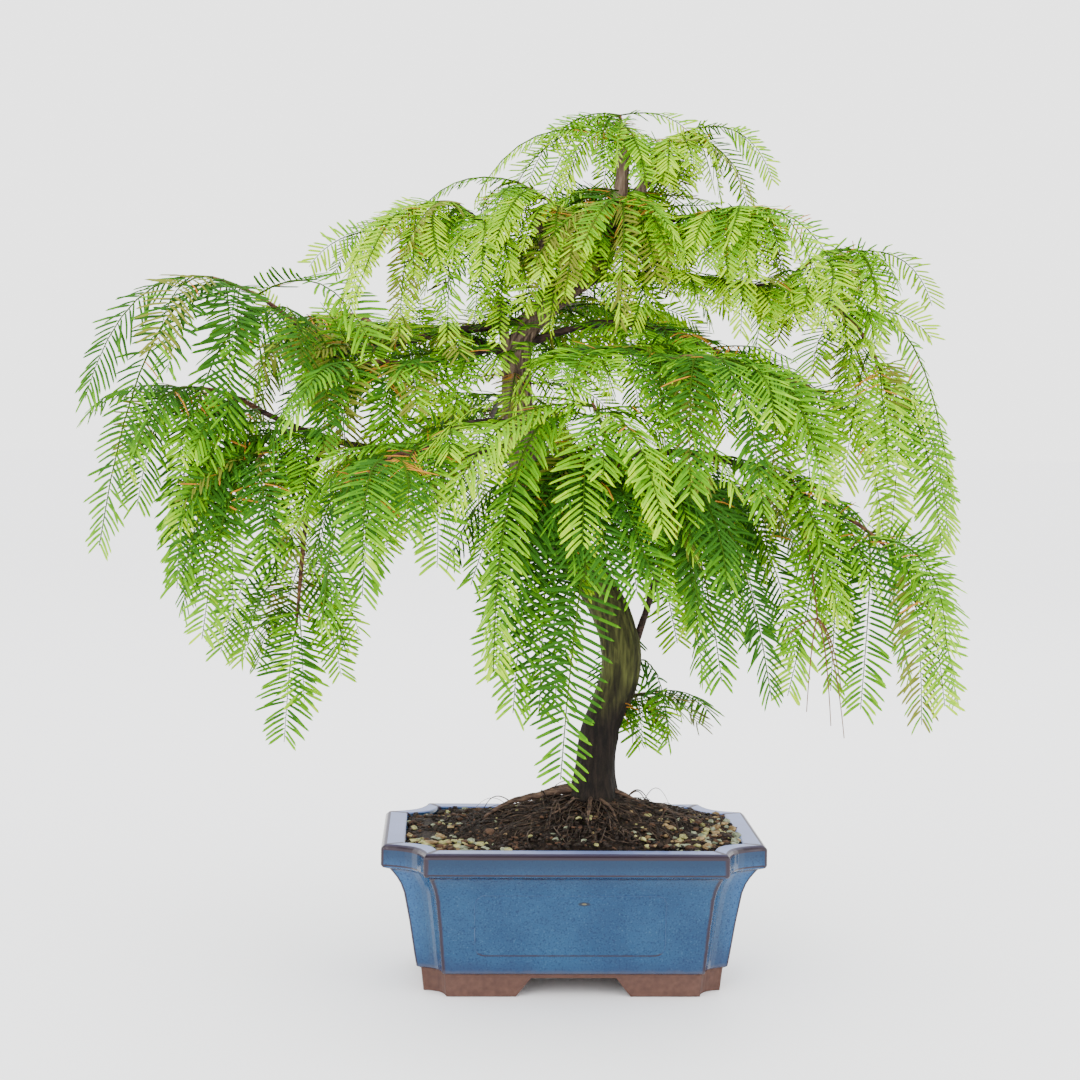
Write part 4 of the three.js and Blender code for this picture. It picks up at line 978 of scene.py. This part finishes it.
def needle_tones(rows, index, share, random, aged):
    """Tones of the needles: each frond's own, up to a step either way and brighter towards its tip. Of
    the fronds that aren't the deepest, the share aged turns olive. Withered needles stand on the inner
    half of fronds, many on some of them and single ones on the rest."""
    count = len(index)
    drift = random.integers(-1, 2, len(rows))
    tone = rows[index, TONE] + drift[index] + (random.random(count) < 0.25)
    tone += (share > 0.45).astype(int) + (share > 0.78) + (share > 0.93)
    tone = np.clip(tone, 0, BRIGHTEST)
    olive = (random.random(len(rows)) < aged) & (rows[:, TONE] >= 0)
    tone = np.where(olive[index] & (random.random(count) < 0.7), OLIVE, tone)
    sere = np.where(random.random(len(rows)) < 0.6 * aged, 0.6, 0.04)
    return np.where(random.random(count) < sere[index] * (share < 0.42), WITHERED, tone)


def dress(name, sprays):
    """The needles and the twigs of one part of the crown, as two pieces. Needles stand in pairs along each
    frond, swept forward, leaning, hanging and curled by amounts of the frond's own and of each needle."""
    rows = np.array(sprays.rows, float)
    random = sprays.random
    size = rows[:, SIZE]
    steps = np.linalg.norm(np.diff(frond_paths(rows, 16), axis=1), axis=2)
    reached = np.column_stack([np.zeros(len(rows)), np.cumsum(steps, axis=1)])
    lengths = reached[:, -1]
    pitch = NEEDLE_PITCH * np.where(size > 1, size ** 1.3, size ** 0.5)
    pitch *= random.uniform(0.92, 1.1, len(rows))
    pairs = np.maximum(6, ((lengths - BARE) / pitch).astype(int))
    index = np.repeat(np.arange(len(rows)), pairs)
    order = np.arange(len(index)) - np.repeat(np.cumsum(pairs) - pairs, pairs)
    share = np.clip((BARE + (order + 0.5) * pitch[index]) / lengths[index], 0, 1)
    index, share = np.repeat(index, 2), np.repeat(share, 2)
    count = len(index)
    hand = np.tile([1.0, -1.0], count // 2)
    share = np.clip(share + hand * 0.2 * pitch[index] / lengths[index], 0, 1)
    point, along, side, top = frond_frames(rows, index, arch_shares(reached, index, share))
    profile = 0.45 + 0.55 * np.sin(np.pi * np.minimum(1, 0.8 * share + 0.16)) ** 0.6
    long = NEEDLE * size[index] * profile * random.uniform(0.82, 1.12, count)
    own_sweep, own_lean = random.normal(0, 6, len(rows)), random.normal(-6, 12, len(rows))
    sweep = np.radians(SWEEP + 30 * share ** 3 + own_sweep[index] + random.normal(0, 5, count))[:, None]
    lean = np.radians(own_lean[index] + random.normal(0, 7, count))[:, None]
    out = side * hand[:, None] * np.cos(lean) + top * np.sin(lean)
    ahead = unit(out * np.cos(sweep) + along * np.sin(sweep))
    curl = random.uniform(0.0, 0.22, len(rows))[index] + random.uniform(-0.05, 0.08, count)
    hang = random.uniform(0.05, 0.5, len(rows))[index] * size[index] * random.uniform(0.6, 1.4, count)
    hang *= 1 - 0.9 * np.abs(along[:, 2])
    bend = along * curl[:, None] - UP * hang[:, None]
    bend -= ahead * (bend * ahead).sum(1, keepdims=True)
    tones = needle_tones(rows, index, share, random, AGED.get(name, USUAL_AGED))
    width = NEEDLE_WIDE * (0.4 + 0.6 * size[index]) * random.uniform(0.85, 1.12, count)
    width = np.where(tones == WITHERED, 0.6 * width, width)
    needles = point, ahead, unit(np.cross(ahead, top)), bend, long, width, tones
    parts, shades = [], []
    for chosen, at, breadth in ((long > LONG_NEEDLE, (0.12, 0.5, 0.9), (0.85, 1.0, 0.8)),
                                (long <= LONG_NEEDLE, (0.16, 0.84), (0.9, 0.9))):
        *part, part_shades = needle_blades(*(values[chosen] for values in needles), at, breadth)
        parts.append(part)
        shades.append(part_shades)
    make(f"needles_{name}", "needles", joined(parts), TONES, sprays.nodes, smooth=False,
         tones=np.concatenate(shades))
    thick = TWIG_THICK * (0.5 + 0.5 * lengths / 90)[:, None] * (1 - 0.65 * np.linspace(0, 1, 9))
    twigs = tubes(zip(frond_paths(rows, 9), thick, rows[:, FACE]), 5)
    make(f"twigs_{name}", "needles", twigs, [GREEN_TWIG])


def make_foliage():
    """The crown. Each mass keeps its stem and the fronds of its solid, and the same seeded rule then
    carries it to shorter fronds. Short sprays stand on the boughs and on the upper trunk, and young shoots
    on one mass."""
    groups = {}
    stems = []
    share = np.linspace(0, 1, 14)

    def part(first):
        return groups.setdefault(GROUPS.get(first, first), Sprays(len(groups) + 1))

    for (name, *stem), fill, finer, tone, size, leads in MASSES:
        line = limb_line(name, *stem)
        stems.append((line(share), STEM_THICK + (STEM_THIN - STEM_THICK) * share, stem[2]))
        sprays = part(name.split("_")[0])
        sprays.nodes.append(name)
        own = [(*row, row[1])[:6] for row in leads] + rule_rows(stem[2], fill, fill[0], 1.0, 0.15, 0.95, 0)
        finer = rule_rows(stem[2], fill, finer, FINER_LENGTH, 0.02, 1.0, 500)
        for rows, needle in ((own, size), (finer, FINER_NEEDLE * size)):
            for at, turn, *bends in rows:
                sprays.add(line(at) - towards(turn) * SINK, turn, *bends, tone, needle)
    for name, _, _, heading, *_, on_it in BOUGHS:
        part(name.replace("bough_", "").split("_")[0]).on_limb(LIMBS[name], heading, *on_it)
    for at, *bends in YOUNG_SHOOTS:
        groups["front"].add(LIMBS[YOUNG_ON](at), *bends, bends[0], YOUNG_TONE, YOUNG_NEEDLE)
    groups["top"].on_trunk(*ON_TRUNK)
    for name, sprays in groups.items():
        dress(name, sprays)
    make("mass_stems", "young_bark", tubes(stems, 8), [TWIG_BARK])


# ---- soil


def soil_height(x, y, slump=0.84):
    """Height of the soil: flat under the trunk, then a slumped mound that runs out to the pot's edge."""
    away = np.hypot(x - TRUNK_FOOT[0], (y - TRUNK_FOOT[1]) * 1.2)
    out = np.clip((away - SOIL_FLAT) / (SOIL_FOOT - SOIL_FLAT), 0, 1) ** slump
    lumps = np.sin(x / 6.1 + 1) * np.cos(y / 5.3) * SOIL_LUMP * np.minimum(1, 4 * out)
    return SOIL_TOP + (SOIL_EDGE - SOIL_TOP) * out + lumps


def soil_lumps(x, y):
    """Lumps and crumbs of three sizes over the mound."""
    return sum(high * level_noise(x, y, wide, seed) for high, wide, seed in (
        (1.3, 6.5, 31), (0.8, 2.6, 32), (0.4, 1.2, 33)))


def make_soil():
    """The mound: rings from under the rim in to the trunk, lumpy all over, closed underneath."""
    edge, _ = pot_outline(LIP_FLAT + 0.5)
    foot, _ = pot_outline(LIP_FLAT + 3.2)
    shares = np.linspace(1, 0.02, 80)[:, None]
    flat = TRUNK_FOOT + (edge - TRUNK_FOOT) * shares[..., None]
    x, y = flat[..., 0], flat[..., 1]
    z = soil_height(x, y) + soil_lumps(x, y) * smoothstep(1.0, 0.97, shares)
    rings = [at_height(foot, SOIL_EDGE - 8), *np.dstack([x, y, z])]
    make("soil_mound", "soil", closed_grid(np.array(rings)), [SOIL], ["soil"])


def lump_stones(places, sizes, seed):
    """Rough stones, all at once: an icosahedron each, its corners pulled about and its height flattened."""
    random = np.random.default_rng(seed)
    golden = (1 + 5 ** 0.5) / 2
    corners = unit(np.array([np.roll((0, a, b * golden), -k) for k in range(3)
                             for a in (-1, 1) for b in (-1, 1)], float))
    near = np.linalg.norm(corners[:, None] - corners, axis=2) < 1.2
    faces = [(a, b, c) for a, b, c in itertools.combinations(range(len(corners)), 3)
             if near[a, b] and near[b, c] and near[a, c]]
    faces = np.array([face if np.linalg.det(corners[list(face)]) > 0 else (face[0], face[2], face[1])
                      for face in faces])
    count = len(places)
    pull = random.uniform(0.6, 1.3, (count, 12, 1))
    squash = random.uniform([0.9, 0.55, 0.35], [1.5, 1.0, 0.7], (count, 3))[:, None]
    turn = random.uniform(0, 2 * np.pi, count)[:, None]
    x, y, z = np.moveaxis(corners * pull * squash * sizes[:, None, None], 2, 0)
    body = np.stack([x * np.cos(turn) - y * np.sin(turn), x * np.sin(turn) + y * np.cos(turn), z], -1)
    return ((places[:, None] + body).reshape(-1, 3),
            (faces + (np.arange(count) * len(corners))[:, None, None]).reshape(-1, 3))


def make_grit():
    """Crumbs of soil all over the mound, and stones gathered along the pot's walls: pale ones in a row at
    the front left, and more and larger ones at the front right."""
    random = np.random.default_rng(71)
    x, y = (random.uniform(-reach, reach, GRAINS) for reach in (88, 60))
    edge, _ = pot_outline(LIP_FLAT + 2.2)
    turns = np.arctan2(edge[:, 1], edge[:, 0])
    order = np.argsort(turns)
    away = np.hypot(x, y) / np.interp(np.arctan2(y, x), turns[order], np.hypot(*edge[order].T))
    inside = (away < 1) & (np.hypot(x - TRUNK_FOOT[0], y - TRUNK_FOOT[1]) > 12)
    x, y, away = x[inside], y[inside], away[inside]
    count = len(x)
    row = smoothstep(0.70, 0.80, away) * smoothstep(30, 4, x) * smoothstep(-16, -34, y)
    walls = smoothstep(0.62, 0.92, away + 0.14 * level_noise(x, y, 14, 41))
    right = smoothstep(24, 52, x) * smoothstep(8, -16, y)
    stone = random.random(count) < 0.03 + 0.2 * row + 0.16 * walls + 0.16 * right
    size = np.where(stone, random.uniform(1.0, 2.1, count) * (1 + 0.4 * right) + 0.4 * row,
                    random.uniform(0.5, 1.4, count))
    size = np.where(random.random(count) < 0.005, random.uniform(2.3, 3.4, count), size)
    pale = random.choice([TAN, YELLOW, PALE, BROWN], count, p=[0.14, 0.36, 0.38, 0.12])
    mixed = random.choice([TAN, YELLOW, PALE, BROWN, CRUMB], count, p=[0.16, 0.2, 0.22, 0.26, 0.16])
    kind = np.where(stone, np.where(random.random(count) < row + 0.3 * (x < 0), pale, mixed), CRUMB)
    kind = np.where((kind == CRUMB) & (random.random(count) < 0.14), BROWN, kind)
    z = soil_height(x, y) + soil_lumps(x, y) + (0.25 + 0.25 * row) * size
    points, faces = lump_stones(np.column_stack([x, y, z]), size, 72)
    make("grit", "soil", (points, faces), GRITS, smooth=False, tones=np.repeat(kind, len(faces) // count))


def make_surface_roots():
    """Roots that run out over the soil from the trunk's foot, swaying as they go."""
    share, sides = np.linspace(0, 1, 36), 12
    roots = []
    for k, (heading, reach, bulge, radius) in enumerate(ROOTS):
        sway = 3.0 * level_noise(share * 40, 7 * k, 14, 51) * share
        ahead, left = towards(heading)[:2], towards(heading + 90)[:2]
        flat = TRUNK_FOOT + ahead * reach * share[:, None] + left * sway[:, None]
        z = soil_height(*flat.T, slump=1.0) + 0.35 * radius + bulge * np.sin(np.pi * share)
        path = at_height(flat, z)
        bared = ROOT_PROUD if bulge > 2 else ROOT_BURIED
        thick = bared * radius * (1.25 - share)[:, None]
        roots.append((path, thick * (1 + 0.25 * noise_round(path, 2, sides, 3, 52)), heading))
    make("surface_roots", "old_bark", tubes(roots, sides), [ROOT_BARK])


def make_fine_roots():
    """Fine roots that straggle over the soil in curves, a few of them in high loops."""
    random = np.random.default_rng(53)
    count, stations = FINE_ROOTS, 12
    share = np.linspace(0, 1, stations)
    heading = random.uniform(0, 360, count)
    start = random.uniform(6, 46, count)
    length = random.uniform(8, 30, count)
    bend = random.normal(0, 50, count)
    step = towards(heading[:, None] + bend[:, None] * share)[..., :2] * (length / stations)[:, None, None]
    flat = TRUNK_FOOT + towards(heading)[:, None, :2] * start[:, None, None] + np.cumsum(step, 1)
    flat = np.clip(flat, [-82, -55], [82, 55])
    looped = random.random(count) < 0.03
    hop = np.where(looped, random.uniform(6, 12, count), random.uniform(0.4, 3.2, count))
    x, y = flat[..., 0], flat[..., 1]
    z = soil_height(x, y) + hop[:, None] * np.sin(np.pi * share) ** 0.8 - 0.2
    radii = random.uniform(0.18, 0.5, count)[:, None] * (1.1 - 0.6 * share)
    roots = tubes(zip(np.dstack([x, y, z]), radii, heading), 5)
    make("fine_roots", "old_bark", roots, [ROOT_SKIN])


# ---- withered threads


def make_threads():
    """Bare stalks of last year's fronds: one that hangs from a bough, and thin ones that spread from its
    end. Each tapers along its arch."""
    share = np.linspace(0, 1, 16)
    name, where, *bends = STALK
    stalk = arch(LIMBS[name](where), *bends, share, 0.7)
    limbs = [(stalk, 0.8 - 0.3 * share, bends[0])]
    for heading, reach, lift in THREADS:
        path = arch(stalk[-1], heading, reach, lift, 0.15 * lift, share, 0.6)
        limbs.append((path, 0.5 - 0.25 * share, heading))
    make("withered_threads", "young_bark", tubes(limbs, 5), [DRY])


# ---- stage


def aim(thing, at, ahead, roll=0.0):
    """Places an object in metres, looking ahead and rolled about that line."""
    level = unit(np.cross(ahead, UP))
    upright = np.cross(level, ahead)
    right = level * np.cos(roll) + upright * np.sin(roll)
    up = upright * np.cos(roll) - level * np.sin(roll)
    thing.matrix_world = Matrix([*np.column_stack([right, up, -ahead, at]).tolist(), (0, 0, 0, 1)])


def make_stage():
    """A plain pale floor, soft light from all round and three large soft lamps."""
    floor = at_height(ring(64)[:, :2] * FLOOR_RADIUS, -FLOOR_DROP) - CENTRE
    material = Shader("floor", (250, 250, 252), 0.6, 0.5).material
    shaped("floor", (floor, np.arange(64)[None]), [material], smooth=False)
    world = bpy.data.worlds.new("soft_light")
    world.use_nodes = True
    background = world.node_tree.nodes["Background"].inputs
    background["Color"].default_value = (1, 1, 1, 1)
    background["Strength"].default_value = WORLD_LIGHT
    bpy.context.scene.world = world
    for name, at, size, power in LAMPS:
        light = bpy.data.lights.new(name, "AREA")
        light.size = size
        light.energy = power
        aim(place(name, light), at + CENTRE / 1000, unit(np.subtract(LAMPS_AIM, at)))


def make_camera():
    """The camera, turned, dipped and rolled from looking straight along +Y."""
    turn, dip, roll = np.radians([CAMERA_TURN, CAMERA_DIP, CAMERA_ROLL])
    ahead = np.array([np.sin(turn) * np.cos(dip), np.cos(turn) * np.cos(dip), -np.sin(dip)])
    data = bpy.data.cameras.new("camera")
    data.sensor_width = SENSOR
    data.lens = FOCAL
    data.clip_start = 0.05
    camera = place("camera", data)
    aim(camera, (CAMERA_AT + CENTRE) / 1000, ahead, roll)
    bpy.context.scene.camera = camera


make_camera()
make_stage()
make_pot()
make_feet()
make_panel_line()
make_soil()
make_grit()
make_trunk()
make_stubs()
make_boughs()
make_surface_roots()
make_fine_roots()
make_foliage()
make_threads()
